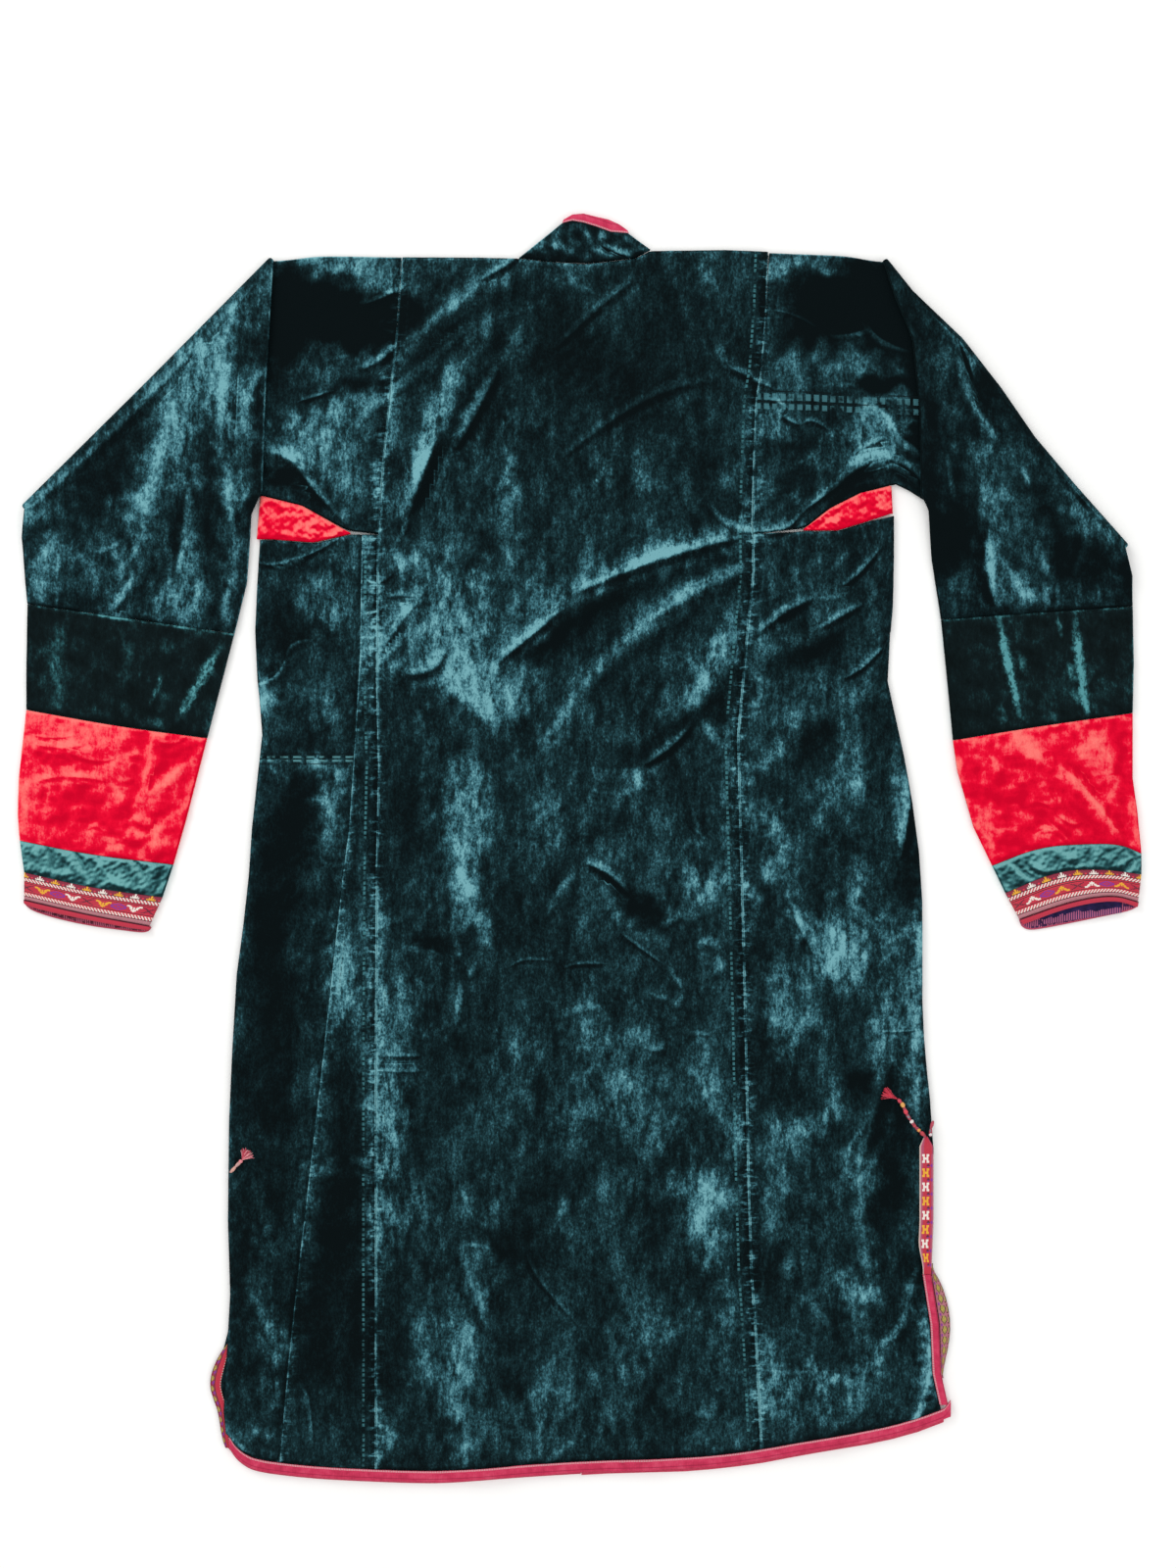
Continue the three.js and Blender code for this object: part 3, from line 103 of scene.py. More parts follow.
# creases: (x0, y0) through (xm, ym) to (x1, y1), half width, strength and shaded side;
# the side is -1 below or left, 1 above or right, 0 for none
creases = [
    # under the arms
    (148, 284, 70, 265, -8, 232, 5, 0.9, -1), (-18, 218, -46, 196, -78, 168, 4, 0.9, -1),
    (-22, 270, -42, 246, -75, 200, 4, 0.4, 0), (155, 255, 112, 240, 60, 207, 7, 0.45, -1),
    (50, 195, 14, 158, -35, 95, 6, 0.38, 0), (105, 183, 130, 190, 152, 198, 4, 0.45, 0),
    (100, 112, 80, 92, 56, 76, 4, 0.85, -1), (110, 116, 120, 104, 129, 90, 4, 0.75, 0),
    (-150, 225, -168, 205, -187, 174, 4, 0.55, -1), (-160, 195, -172, 182, -187, 166, 3, 0.6, 0),
    (-160, 175, -168, 165, -180, 148, 3, 0.5, 0), (-150, 228, -165, 232, -180, 229, 3, 0.55, -1),
    (-122, 190, -136, 166, -162, 160, 5, 0.75, -1), (-150, 128, -147, 118, -142, 108, 2.5, 0.55, 0),
    (-198, 247, -186, 243, -172, 252, 2, 0.6, -1), (-196, 236, -188, 233, -178, 238, 2, 0.5, -1),
    (-197, 214, -188, 216, -180, 222, 2, 0.5, -1), (-192, 55, -191, 48, -191, 42, 1.5, 0.7, 0),
    # middle
    (4, -14, 24, -22, 43, -41, 4, 0.95, -1), (-5, -25, -18, -40, -32, -65, 4, 0.65, 0),
    (17, -35, 27, -50, 36, -75, 4, 0.45, 0), (35, -77, 55, -92, 76, -107, 2, 0.6, -1),
    (80, -110, 88, -122, 92, -130, 3, 0.8, 0), (94, -135, 90, -142, 85, -146, 3, 0.85, 0),
    (62, -132, 72, -137, 80, -139, 2.5, 0.6, 0), (38, -128, 39.5, -133, 39, -138, 1.5, 0.6, 0),
    (-65, -110, -52, -103, -25, -104, 2, 0.5, -1), (-15, -110, 0, -106, 25, -107, 2, 0.6, -1),
    (-18, -155, 0, -148, 20, -147, 3.5, 0.6, 0), (60, -183, 68, -184, 78, -183, 2.5, 0.75, 0),
    (58, -180, 62, -170, 63, -160, 2, 0.5, 0), (-15, -218, 5, -208, 20, -198, 4, 0.45, 0),
    (95, -170, 108, -170, 118, -172, 2, 0.6, 0), (105, -92, 118, -87, 128, -95, 4, 0.75, 0),
    (122, -100, 128, -109, 122, -118, 4.5, 0.7, 0), (-90, -100, -98, -112, -104, -121, 3, 0.6, 0),
    (-111, -121, -112, -140, -115, -167, 3, 0.85, 0), (-114, -84, -113, -94, -110, -104, 3, 0.8, 0),
    (-158, -65, -175, -68, -186, -74, 3, 0.5, 0), (-165, -90, -143, -95, -125, -100, 4.5, 0.45, 1),
    (-188, -190, -166, -190.5, -145, -191, 2.4, 0.55, -1),
    (-188, -204, -166, -204.5, -145, -205, 2.4, 0.5, -1),
    (-163.6, 16, -170.6, -23, -183, -58, 1.5, 0.35, 0),
    # shoulders
    (-58, 541, -76, 530, -93, 520, 3.5, 0.7, -1), (-93, 520, -122, 492, -160, 463, 8, 0.42, -1),
    (-107, 473, -142, 441, -178, 408, 3.5, 0.42, 0), (-43, 500, -55, 492, -78, 483, 2, 0.4, 0),
    (-43, 500, -60, 464, -76, 438, 5, 0.5, 0), (-76, 440, -98, 400, -116, 366, 6, 0.85, -1),
    (-116, 366, -124, 350, -140, 302, 3, 0.6, 0), (-132, 375, -148, 340, -158, 305, 6, 0.85, -1),
    (-158, 305, -162, 292, -171, 275, 2, 0.8, 0), (48, 520, 18, 498, -25, 457, 4, 0.4, -1),
    (120, 427, 58, 411, -18, 357, 4.5, 0.36, -1), (-10, 535, -8, 520, 0, 511, 4.5, 0.5, 0),
    (0, 511, 8, 511, 15, 507, 2.5, 0.5, 0), (122, 468, 129, 450, 138, 440, 5, 0.55, 0),
    (135, 440, 152, 434, 178, 420, 3.5, 0.8, -1), (95, 355, 99, 325, 112, 300, 6, 0.55, 0),
    (118, 315, 134, 298, 165, 288, 3, 0.9, 0), (-168, 462, -182, 450, -203, 438, 4, 0.75, -1),
    # skirt
    (-110, -370, -97, -405, -84, -445, 6.5, 0.55, -1), (-84, -445, -80, -460, -77, -476, 3.5, 0.4, 0),
    (-118, -368, -100, -364, -82, -368, 2, 0.5, 0), (-50, -370, -36, -398, 0, -440, 2.5, 0.4, -1),
    (0, -465, 14, -492, 36, -546, 4, 0.5, 0), (20, -440, 34, -465, 41, -502, 6, 0.35, 0),
    (0, -525, -12, -547, -30, -563, 3.5, 0.4, 0), (95, -515, 110, -520, 125, -522, 3, 0.45, 0),
    (118, -375, 115, -385, 112, -396, 3, 0.5, 0),
    # right panel
    (160, 195, 185, 216, 212, 228, 4.5, 0.85, -1), (212, 228, 230, 229, 248, 234, 2, 0.6, 0),
    (165, 223, 181, 231, 200, 238, 1.5, 0.45, 0), (239, 240, 255, 253, 276, 277, 2.6, 0.8, -1),
    (232, 254, 241, 266, 254, 274, 2.6, 0.5, 0), (217, 200, 236, 212, 258, 223, 3.5, 0.7, -1),
    (260, 218, 268, 230, 271, 246, 2.5, 0.6, 0), (240, 155, 258, 166, 277, 184, 2.6, 0.8, -1),
    (199, 98, 202, 104, 205, 108, 1.5, 0.4, 0), (176.6, -81, 178, -100, 179, -117, 1.4, 0.6, 0),
    (272, -168, 290, -168.5, 311, -167, 1.5, 0.4, -1), (281, -198, 270, -232, 253, -298, 7, 0.5, 1),
    (243, -280, 252, -265, 262, -255, 2.2, 0.6, -1), (183, -388, 192, -384, 202, -374, 1.6, 0.5, 0),
    (312, -382, 303, -398, 301, -416, 2.8, 0.8, 0), (301, -416, 291, -441, 275, -457, 3.8, 0.95, 0),
    (317, -436, 321.5, -474, 316, -506, 4.4, 1.0, 0), (316, -504, 309, -521, 299, -537, 3.4, 0.85, 0),
    (165, -479, 205, -481, 236, -478, 2.4, 0.25, 1), (206, -418, 220, -430, 235, -444, 4, 0.35, 0),
    (296, 76, 299, 40, 291, -12, 5, 0.85, 1), (311, -64, 312, -100, 311, -160, 4, 0.55, 0),
    (194, -50, 200, -70, 214, -98, 3, 0.5, -1),
    # left panels
    (-297, 262, -268, 262, -222, 283, 2.2, 0.85, -1), (-281, 256, -266, 259, -249, 269, 1.6, 0.5, 0),
    (-296, 150, -280, 157, -270, 174, 2.6, 0.75, 1), (-270, 174, -264, 186, -246, 190, 2.4, 0.6, 1),
    (-256, -496, -250, -510, -246, -555, 2.6, 0.55, 1), (-295, -398, -292, -425, -286, -446, 4, 0.45, 0),
    (-324, -534, -314, -549, -296, -557, 2.5, 0.7, 0), (-301, -300, -296, -320, -288, -340, 3, 0.25, 0),
    # by the left armhole
    (-199.6, 498, -179, 506, -162, 514, 3, 0.9, -1), (-187, 430, -174, 431, -164, 437, 2.5, 0.6, 0),
    (-190, 402, -174, 415, -152, 437, 4, 0.5, 0), (-259, 409, -246, 413, -225, 419, 2, 0.75, -1),
    (-271, 398, -266, 395, -260, 393, 2, 0.5, 0), (-291, 363, -270, 360, -255, 344, 6, 1.0, -1),
    (-258, 347, -243, 328, -227, 310, 4, 1.0, -1), (-228, 311, -219, 302, -212, 295, 2, 0.75, 0),
    (-222, 316, -216, 306, -211, 298, 3, 0.6, 0), (-240, 442, -226, 448, -206, 452, 2, 0.35, 0),
    (-268, 330, -258, 326, -246, 322, 1.6, 0.35, 0),
    # by the right armhole
    (175, 492, 194, 488, 215, 477, 1.6, 0.45, -1), (229, 469, 248, 470, 265, 476, 3, 0.65, 1),
    (263, 478, 276, 464, 300, 455, 3.4, 0.8, 1), (166, 411, 180, 409, 191, 401, 2.8, 0.8, -1),
    (183, 396, 193, 391, 203, 387, 2.5, 0.8, -1), (203, 387, 212, 391, 228, 382, 2.5, 0.75, -1),
    (190, 351, 200, 353, 211, 354, 2, 0.6, 0), (259, 405, 278, 396, 290, 376, 6, 0.95, 1),
    (289, 377, 301, 368, 312, 359, 5, 0.85, 1), (250, 361, 265, 370, 280, 376, 3, 0.7, -1),
    (241, 343, 258, 357, 292, 362, 3.4, 0.8, -1), (227, 327, 262, 354, 288, 355, 5.5, 0.9, -1),
    (288, 355, 304, 348, 314, 333, 5.5, 0.9, -1), (205, 309, 220, 321, 240, 335, 2.2, 0.85, -1),
    (262, 346, 286, 349, 312, 328, 1.8, 0.6, 0), (164, 290, 184, 291, 203, 308, 3, 0.85, -1),
    (204, 420, 240, 424, 252, 421, 2, 0.5, 0), (278, 448, 288, 440, 300, 432, 4.5, 0.6, 0),
    (170, 341, 182, 346, 196, 344, 2, 0.3, 0), (172, 318, 186, 322, 204, 322, 2, 0.35, 0),
    # flecks of lint
    (50, -316, 50.5, -320, 50, -324, 0.9, 0.9, 0), (-14, -474, -12, -475, -10, -475, 0.8, 0.7, 0),
    (-65, -540, -61, -541, -56, -540, 1.2, 0.5, 0), (135, -511, 136, -513, 137, -514, 0.8, 0.8, 0),
    (243, -301, 246, -302, 249, -302.5, 1.1, 0.9, 0), (232, -449, 233, -449, 234, -450, 0.9, 0.8, 0),
]


def cleanCurve(rows, t):
    # quadratic through the middle point m: (1-t)^2 a + 2t(1-t) c + t^2 b, with c = 2m - (a+b)/2
    a, m, b = rows
    c = 2 * m - (a + b) / 2
    return (1 - t) ** 2 * a + 2 * t * (1 - t) * c + t * t * b


def nearBox(x, y, cx, cy, reach):
    # the places within reach of a line's own box
    wide = (x > cx.min() - reach) & (x < cx.max() + reach)
    return wide & (y > cy.min() - reach) & (y < cy.max() + reach)


def ridgeField(x, y, table, low=0.35):
    # each ridge is high * exp(-(distance / wide)^2), fading towards its two ends
    total = np.zeros_like(x)
    steps = np.linspace(0, 1, 17)
    for x0, y0, xm, ym, x1, y1, wide, high in table:
        cx, cy = cleanCurve((x0, xm, x1), steps), cleanCurve((y0, ym, y1), steps)
        reach = wide * 3
        near = nearBox(x, y, cx, cy, reach)
        if not near.any():
            continue
        px, py = x[near], y[near]
        best = np.full(px.shape, 1e9)
        at = np.zeros(px.shape)
        for k in range(16):  # nearest point on each short chord
            dx, dy = cx[k + 1] - cx[k], cy[k + 1] - cy[k]
            s = np.clip(((px - cx[k]) * dx + (py - cy[k]) * dy) / (dx * dx + dy * dy + 1e-9), 0, 1)
            d = np.hypot(px - cx[k] - s * dx, py - cy[k] - s * dy)
            closer = d < best
            best = np.where(closer, d, best)
            at = np.where(closer, (k + s) / 16, at)
        fade = low + (1 - low) * np.sin(math.pi * np.clip(at, 0.04, 0.96))
        total[near] += high * fade * np.exp(-(best / wide) ** 2)
    return total


def softNoise(x, y, size, seed, stretch=1.0, waves=14):
    # sum of plane waves with random directions and phases, about size apart
    rng = np.random.default_rng(seed)
    total = np.zeros_like(x)
    for _ in range(waves):
        turn, phase = rng.uniform(0, math.pi), rng.uniform(0, 2 * math.pi)
        rate = 2 * math.pi / (size * rng.uniform(0.7, 1.5))
        total += np.sin(rate * (x * math.cos(turn) + y * math.sin(turn) / stretch) + phase)
    return total / math.sqrt(waves)


def easeIn(t):
    # 3c^2 - 2c^3 for c = t held between 0 and 1
    c = np.clip(t, 0, 1)
    return c * c * (3 - 2 * c)


def lineX(rows):
    # x along a line of (y, x) rows, for any y
    ys, xs = np.array([r[0] for r in rows], float), np.array([r[1] for r in rows], float)
    return lambda y: np.interp(-y, -ys, xs)


def lineY(rows):
    # y along a line of (x, y) rows, for any x
    xs, ys = np.array([r[0] for r in rows], float), np.array([r[1] for r in rows], float)
    return lambda x: np.interp(x, xs, ys)


def soften(rows, rounds):
    # takes the corners off a line of points; its ends stay
    p = np.array(rows, float)
    for _ in range(rounds):
        cut = [np.stack([0.75 * a + 0.25 * b, 0.25 * a + 0.75 * b]) for a, b in zip(p[:-1], p[1:])]
        p = np.concatenate([p[:1], *cut, p[-1:]])
    return p


hemAt, shoulderAt = lineY(soften(hemLine, 2)), lineY(shoulderLine)


def foldHeight(x, y):
    # the folds' ridges together, at most 7.5 high
    return np.minimum(ridgeField(x, y, folds), 7.5)


# a crease's height for its strength, more for each millimetre of half width; its trough's depth,
# place and width, the last two in half widths
creaseForm = {"high": 0.5, "perWidth": 0.2, "trough": 0.6, "at": 1.9, "wide": 0.9}


def creaseField(x, y, table):
    # for each crease s = distance / half width, the half width drawn in towards both ends;
    # its ridge is exp(-s^2), with a trough on the shaded side. fold is the nearest crease's s,
    # negative on its shaded side, and light is its strength
    height, fold, light = np.zeros_like(x), np.full(x.shape, 9.0), np.zeros_like(x)
    steps = np.linspace(0, 1, 13)
    for x0, y0, xm, ym, x1, y1, wide, strength, shaded in table:
        cx, cy = cleanCurve((x0, xm, x1), steps), cleanCurve((y0, ym, y1), steps)
        reach = wide * 4 + 2
        near = nearBox(x, y, cx, cy, reach)
        if not near.any():
            continue
        px, py = x[near], y[near]
        best, at, side = np.full(px.shape, 1e9), np.zeros(px.shape), np.ones(px.shape)
        steep = abs(x1 - x0) <= 0.3 * abs(y1 - y0)
        turned = 1 if (y1 < y0 if steep else x1 > x0) else -1
        for k in range(12):
            dx, dy = cx[k + 1] - cx[k], cy[k + 1] - cy[k]
            u = np.clip(((px - cx[k]) * dx + (py - cy[k]) * dy) / (dx * dx + dy * dy + 1e-9), 0, 1)
            ox, oy = px - cx[k] - u * dx, py - cy[k] - u * dy
            d = np.hypot(ox, oy)
            closer = d < best
            best, at = np.where(closer, d, best), np.where(closer, (k + u) / 12, at)
            side = np.where(closer, turned * np.sign(oy * dx - ox * dy), side)
        ends = np.sin(math.pi * np.clip(at, 0, 1))
        taper = 0.4 + 0.6 * ends ** 0.6
        away = best / (wide * taper)
        signed = np.where(side * shaded > 0, -away, away) if shaded else away
        size = strength * (creaseForm["high"] + creaseForm["perWidth"] * wide) * taper
        beyond = (signed + creaseForm["at"]) / creaseForm["wide"]
        dip = size * creaseForm["trough"] * np.exp(-beyond ** 2)
        height[near] += size * np.exp(-away ** 2) - (dip if shaded else 0)
        closer = away < np.abs(fold[near])
        fold[near] = np.where(closer, signed, fold[near])
        glow = strength * ends ** 0.45 * (1 - easeIn((away - 2.0) / 1.2))
        light[near] = np.where(closer, glow, light[near])
    return height, np.clip(fold, -6, 6), light


def fineHeight(x, y):
    # a slow swell and a small crumple all over
    return (0.30 * softNoise(x, y, 64, 3, 1.6) + 0.22 * softNoise(x, y, 24, 4, 1.3)
            + 0.14 * softNoise(x, y, 11, 5))


# painted sheen: where the pile lies brighter and catches the light, as (x, y, half length, half width,
# turn in degrees, strength)
sheenPatches = [
    # centre back
    (-132, 216, 60, 30, 80, 0.2), (-118, 168, 40, 24, 30, 0.2), (90, 215, 70, 24, 20, 0.16),
    (125, 165, 40, 20, 60, 0.14), (-106, 10, 70, 18, 88, 0.16), (110, -30, 26, 22, 0, 0.15),
    (-176, -240, 80, 20, 90, 0.2), (120, -320, 60, 20, 88, 0.15), (-110, -470, 60, 16, 88, 0.15),
    (20, -190, 60, 40, 20, 0.1), (-123, 226, 38, 7, 89, 0.9), (-98, 235, 30, 9, 80, 0.5),
    (-97, 204, 46, 12, 88, 0.4), (-74, 137, 26, 15, -14, 0.8), (-104, 182, 26, 9, 62, 0.5),
    (-115, 205, 22, 12, 60, 0.55), (-92, 140, 32, 11, 5, 0.95), (-85, 158, 16, 8, 60, 0.8),
    (-48, 160, 16, 7, 15, 0.5), (-67, 262, 16, 5, -75, 0.55), (-160, 262, 18, 6, -55, 0.6),
    (-168, 210, 30, 12, 60, 0.4), (-150, 190, 26, 10, 60, 0.4), (-110, 55, 24, 14, -50, 0.45),
    (-104, -5, 50, 11, 88, 0.6), (-96, -60, 28, 6, -70, 0.8), (125, 172, 30, 14, 10, 0.45),
    (112, 140, 22, 5, 88, 0.4), (42, 54, 20, 7, 25, 0.6), (-12, 120, 30, 7, 52, 0.35),
    (60, 256, 60, 10, 18, 0.4), (118, 275, 34, 8, 12, 0.5), (-30, 222, 40, 12, 50, 0.35),
    (-64, 330, 42, 6, 90, 0.4), (-55, 388, 16, 6, -20, 0.35), (22, 348, 14, 5, 80, 0.35),
    (62, 335, 10, 8, 0, 0.3), (-122, 400, 60, 10, 62, 0.3), (-146, 350, 30, 8, 64, 0.45),
    (116, 522, 12, 6, -50, 0.3), (130, 335, 16, 5, -40, 0.3), (112, -35, 14, 14, 0, 0.5),
    (85, -58, 14, 5, 0, 0.45), (117, -212, 26, 7, -78, 0.5), (110, 5, 16, 3, -80, 0.5),
    (-158, -132, 18, 8, 20, 0.65), (-158, -155, 14, 10, 0, 0.45), (-186, -142, 40, 7, 90, 0.6),
    (-178, -250, 44, 14, 90, 0.45), (-164, -306, 32, 11, -63, 0.65), (-107, -322, 12, 6, 90, 0.45),
    (-114, -485, 44, 9, 90, 0.5), (90, -308, 14, 6, 0, 0.6), (117, -325, 16, 14, 90, 0.6),
    (113, -355, 28, 9, -85, 0.55), (-15, -340, 10, 8, 0, 0.35), (-184, -317, 20, 8, 90, 0.45),
    (-184, -352, 20, 9, 90, 0.5), (-184, -536, 24, 6, 90, 0.4), (25, -172, 30, 14, 10, 0.3),
    (30, -235, 34, 18, -20, 0.3), (-12, -258, 30, 16, 60, 0.28), (60, -285, 30, 12, 70, 0.25),
    (-60, -200, 40, 14, 80, 0.22), (64, -450, 40, 14, 85, 0.25), (128, -440, 40, 8, 88, 0.3),
    (-40, -520, 40, 20, 30, 0.22), (40, 10, 30, 20, 40, 0.15), (-30, 20, 40, 14, 80, 0.18),
    (136, -262, 40, 6, 88, 0.4), (135, 60, 40, 6, 88, 0.35), (-140, -440, 50, 10, 88, 0.25),
    # right panel
    (172, -498, 30, 9, 88, 0.6), (165, 205, 12, 8, 20, 0.5), (163, 150, 26, 5, 84, 0.4),
    (156, 25, 12, 5, 90, 0.6), (179, 6, 34, 8, 90, 0.45), (180, -14, 16, 5, 90, 0.45),
    (183, 112, 16, 10, 80, 0.42), (165, 78, 8, 6, 0, 0.5), (181, 88, 8, 6, 0, 0.45),
    (147, 70, 12, 6, 90, 0.6), (154, -47, 14, 3, 90, 0.45), (219, 27, 16, 6, 90, 0.55),
    (233, 52, 22, 10, 0, 0.35), (254, 60, 20, 5, 85, 0.35), (293, 30, 46, 6, -86, 0.6),
    (228, -84, 30, 9, 86, 0.85), (247, -92, 22, 9, 80, 0.8), (239, -104, 16, 11, 0, 0.8),
    (255, -48, 26, 5, 86, 0.65), (203, -72, 18, 5, -75, 0.6), (270, -70, 10, 4, 20, 0.4),
    (281, -92, 14, 5, 30, 0.5), (309, -94, 36, 5, 90, 0.6), (200, -118, 10, 8, 0, 0.5),
    (180, -142, 22, 8, 90, 0.6), (202, -171, 30, 15, 80, 0.45), (241, -125, 14, 7, -50, 0.55),
    (281, -139, 40, 8, 90, 0.4), (306, -145, 40, 7, 90, 0.6), (278, -191, 24, 9, 85, 0.5),
    (308, -202, 26, 9, -75, 0.75), (306, -228, 24, 8, 80, 0.6), (232, -222, 12, 6, 90, 0.55),
    (209, -251, 26, 9, 20, 0.45), (191, -266, 24, 10, 20, 0.5), (237, -284, 9, 8, 0, 0.4),
    (261, -296, 12, 12, 0, 0.55), (259, -326, 30, 5, 90, 0.4), (180, -320, 24, 10, 85, 0.3),
    (200, -345, 26, 8, 60, 0.25), (261, -381, 24, 6, 85, 0.42), (255, -402, 14, 9, 0, 0.6),
    (258, -416, 12, 8, 0, 0.45), (252, -441, 22, 7, -75, 0.45), (211, -488, 34, 8, 3, 0.6),
    (214, -510, 20, 8, 60, 0.5), (255, -499, 20, 10, 70, 0.55), (269, -467, 16, 8, 60, 0.45),
    (309, -424, 12, 10, 0, 0.35), (232, -522, 12, 4, 20, 0.4), (319, -466, 34, 4, 92, 0.7),
    (311, -516, 20, 4, 62, 0.6), (190, 250, 30, 5, 15, 0.22), (215, 150, 16, 8, 80, 0.35),
    (240, 118, 20, 8, 85, 0.28), (250, 92, 24, 8, 80, 0.3), (196, -20, 20, 6, 85, 0.3),
    # left panels and gore
    (-230, 217, 22, 13, -60, 0.5), (-252, 232, 20, 8, 50, 0.4), (-287, 140, 18, 8, 80, 0.75),
    (-232, 126, 14, 12, 0, 0.4), (-240, 74, 20, 6, 0, 0.65), (-230, 44, 18, 5, 86, 0.7),
    (-235, 16, 28, 7, 80, 0.5), (-219, -104, 24, 10, 90, 0.6), (-219, -138, 26, 12, 90, 0.65),
    (-191, -45, 14, 4, 90, 0.65), (-190, -76, 10, 4, 90, 0.5), (-194, 200, 44, 6, 90, 0.45),
    (-192, 120, 20, 4, 88, 0.35), (-237, -291, 14, 8, 0, 0.35), (-292, -358, 18, 7, -70, 0.42),
    (-286, -444, 18, 6, -60, 0.45), (-283, -474, 30, 10, 80, 0.35), (-291, -536, 8, 4, 0, 0.4),
    (-301, -258, 6, 4, 0, 0.5), (-282, 78, 8, 5, 30, 0.4), (-210, -165, 30, 6, 88, 0.35),
    (-238, -206, 30, 5, 84, 0.3), (-252, -340, 26, 5, 84, 0.25), (-214, 262, 14, 12, 0, 0.25),
    # by the left armhole
    (-229, 537, 38, 5, -2, 0.8), (-208, 530, 16, 9, -50, 0.6), (-183, 516, 24, 12, 0, 0.62),
    (-203, 453, 12, 5, 5, 0.6), (-183, 448, 20, 5, 24, 0.4), (-228, 400, 28, 9, 8, 0.65),
    (-251, 380, 14, 14, 0, 0.42), (-230, 384, 24, 18, -40, 0.5), (-244, 362, 22, 12, -20, 0.45),
    (-216, 342, 20, 12, -50, 0.35), (-282, 384, 10, 4, 0, 0.35), (-190, 400, 24, 6, 50, 0.35),
    (-176, 378, 30, 4, 78, 0.4), (-182, 332, 20, 3, 84, 0.5), (-250, 432, 30, 8, 5, 0.22),
    # by the right armhole
    (211, 537, 26, 7, -6, 0.85), (188, 532, 18, 12, 0, 0.4), (186, 518.5, 12, 3, 0, 0.5),
    (246, 458, 16, 8, -30, 0.5), (265, 452, 14, 8, 0, 0.42), (202, 439, 18, 10, 0, 0.35),
    (246, 437, 22, 8, 0, 0.45), (178, 380, 16, 6, 0, 0.5), (226, 371, 10, 6, -50, 0.6),
    (226, 356, 10, 6, 0, 0.42), (155, 303, 14, 4, 85, 0.85), (206, 322, 10, 4, 20, 0.5),
    (274, 362, 26, 14, 20, 0.6), (262, 390, 14, 10, 30, 0.5), (294, 392, 14, 8, -20, 0.35),
    (290, 412, 20, 5, 0, 0.4), (168, 336, 10, 8, 0, 0.3), (188, 296, 16, 5, 10, 0.5),
    (176, 395, 16, 8, -20, 0.3),
]
# painted shade: places where the pile lies dark or in shadow, same columns
shadePatches = [
    (-88, 268, 12, 12, 0, 0.3), (-140, 130, 22, 8, -20, 0.3), (15, 238, 60, 8, 24, 0.25),
    (-20, 195, 50, 8, 40, 0.2), (50, -48, 26, 8, -45, 0.35), (82, -64, 20, 6, 0, 0.3),
    (-138, -84, 24, 6, -20, 0.3), (-74, -366, 30, 8, -20, 0.3), (50, 440, 60, 40, 0, 0.2),
    (-20, 460, 26, 36, 0, 0.2), (110, 330, 40, 30, 60, 0.1), (-160, 30, 50, 14, 88, 0.2),
    (-130, -220, 50, 16, 80, 0.15), (-20, -300, 60, 20, 60, 0.1), (-170, -460, 50, 14, 88, 0.22),
    (299, -23, 22, 8, 85, 0.4), (252, -219, 18, 12, 0, 0.35), (284, -297, 40, 14, 88, 0.35),
    (286, -240, 20, 8, -60, 0.3), (313, -395, 12, 5, 60, 0.4), (230, 60, 40, 10, 84, 0.1),
    (240, -440, 18, 10, 60, 0.2), (212, 190, 16, 20, 0, 0.1), (270, -350, 30, 10, 86, 0.2),
    (170, -180, 60, 8, 88, 0.15), (-260, 30, 50, 18, 86, 0.3), (-285, -60, 70, 18, 86, 0.3),
    (-285, -200, 90, 20, 86, 0.28), (-240, -420, 90, 16, 84, 0.28), (-218, -300, 70, 14, 86, 0.28),
    (-205, -440, 90, 10, 88, 0.25), (-270, 200, 26, 16, 60, 0.25), (-312, -400, 80, 8, 88, 0.25),
    (-240, 490, 50, 24, 4, 0.75), (-188, 486, 40, 14, 10, 0.6), (-272, 470, 12, 50, 0, 0.4),
    (-276, 338, 20, 6, -20, 0.55), (-206, 425, 22, 6, 15, 0.35), (-244, 396, 18, 4, -30, 0.3),
    (282, 494, 46, 32, 0, 0.85), (232, 500, 34, 26, 10, 0.7), (308, 400, 70, 7, 90, 0.6),
    (276, 430, 26, 6, 0, 0.6), (250, 330, 34, 6, 36, 0.45), (200, 365, 24, 8, 0, 0.25),
    (190, 335, 20, 12, 0, 0.2), (300, 336, 20, 4, -20, 0.4), (206, 470, 24, 10, 0, 0.25),
]


def sheenAndShade(x, y, bright, dark):
    # painted sheen and shade: each patch is strength * exp(-(along / 1.1 long)^2.2 - (across / 1.2
    # wide)^2.2), its edge pulled about by noise; bright patches together come to 0.6 * (1 - exp(-sum /
    # 0.6))
    total, lifted = np.zeros_like(x), np.zeros_like(x)
    wx = x + 4 * softNoise(x, y, 46, 21) + 3 * softNoise(x, y, 15, 22)
    wy = y + 6 * softNoise(x, y, 52, 23) + 4 * softNoise(x, y, 19, 24)
    for table, sign in ((bright, 1), (dark, -1)):
        for px, py, long, wide, turn, strength in table:
            a = math.radians(turn)
            along = (wx - px) * math.cos(a) + (wy - py) * math.sin(a)
            across = -(wx - px) * math.sin(a) + (wy - py) * math.cos(a)
            part = (strength * np.exp(-np.abs(along / (1.1 * long)) ** 2.2
                                      - np.abs(across / (1.2 * wide)) ** 2.2))
            lifted += part * (sign > 0)
            total -= part * (sign < 0)
    return total + 0.6 * (1 - np.exp(-lifted / 0.6))


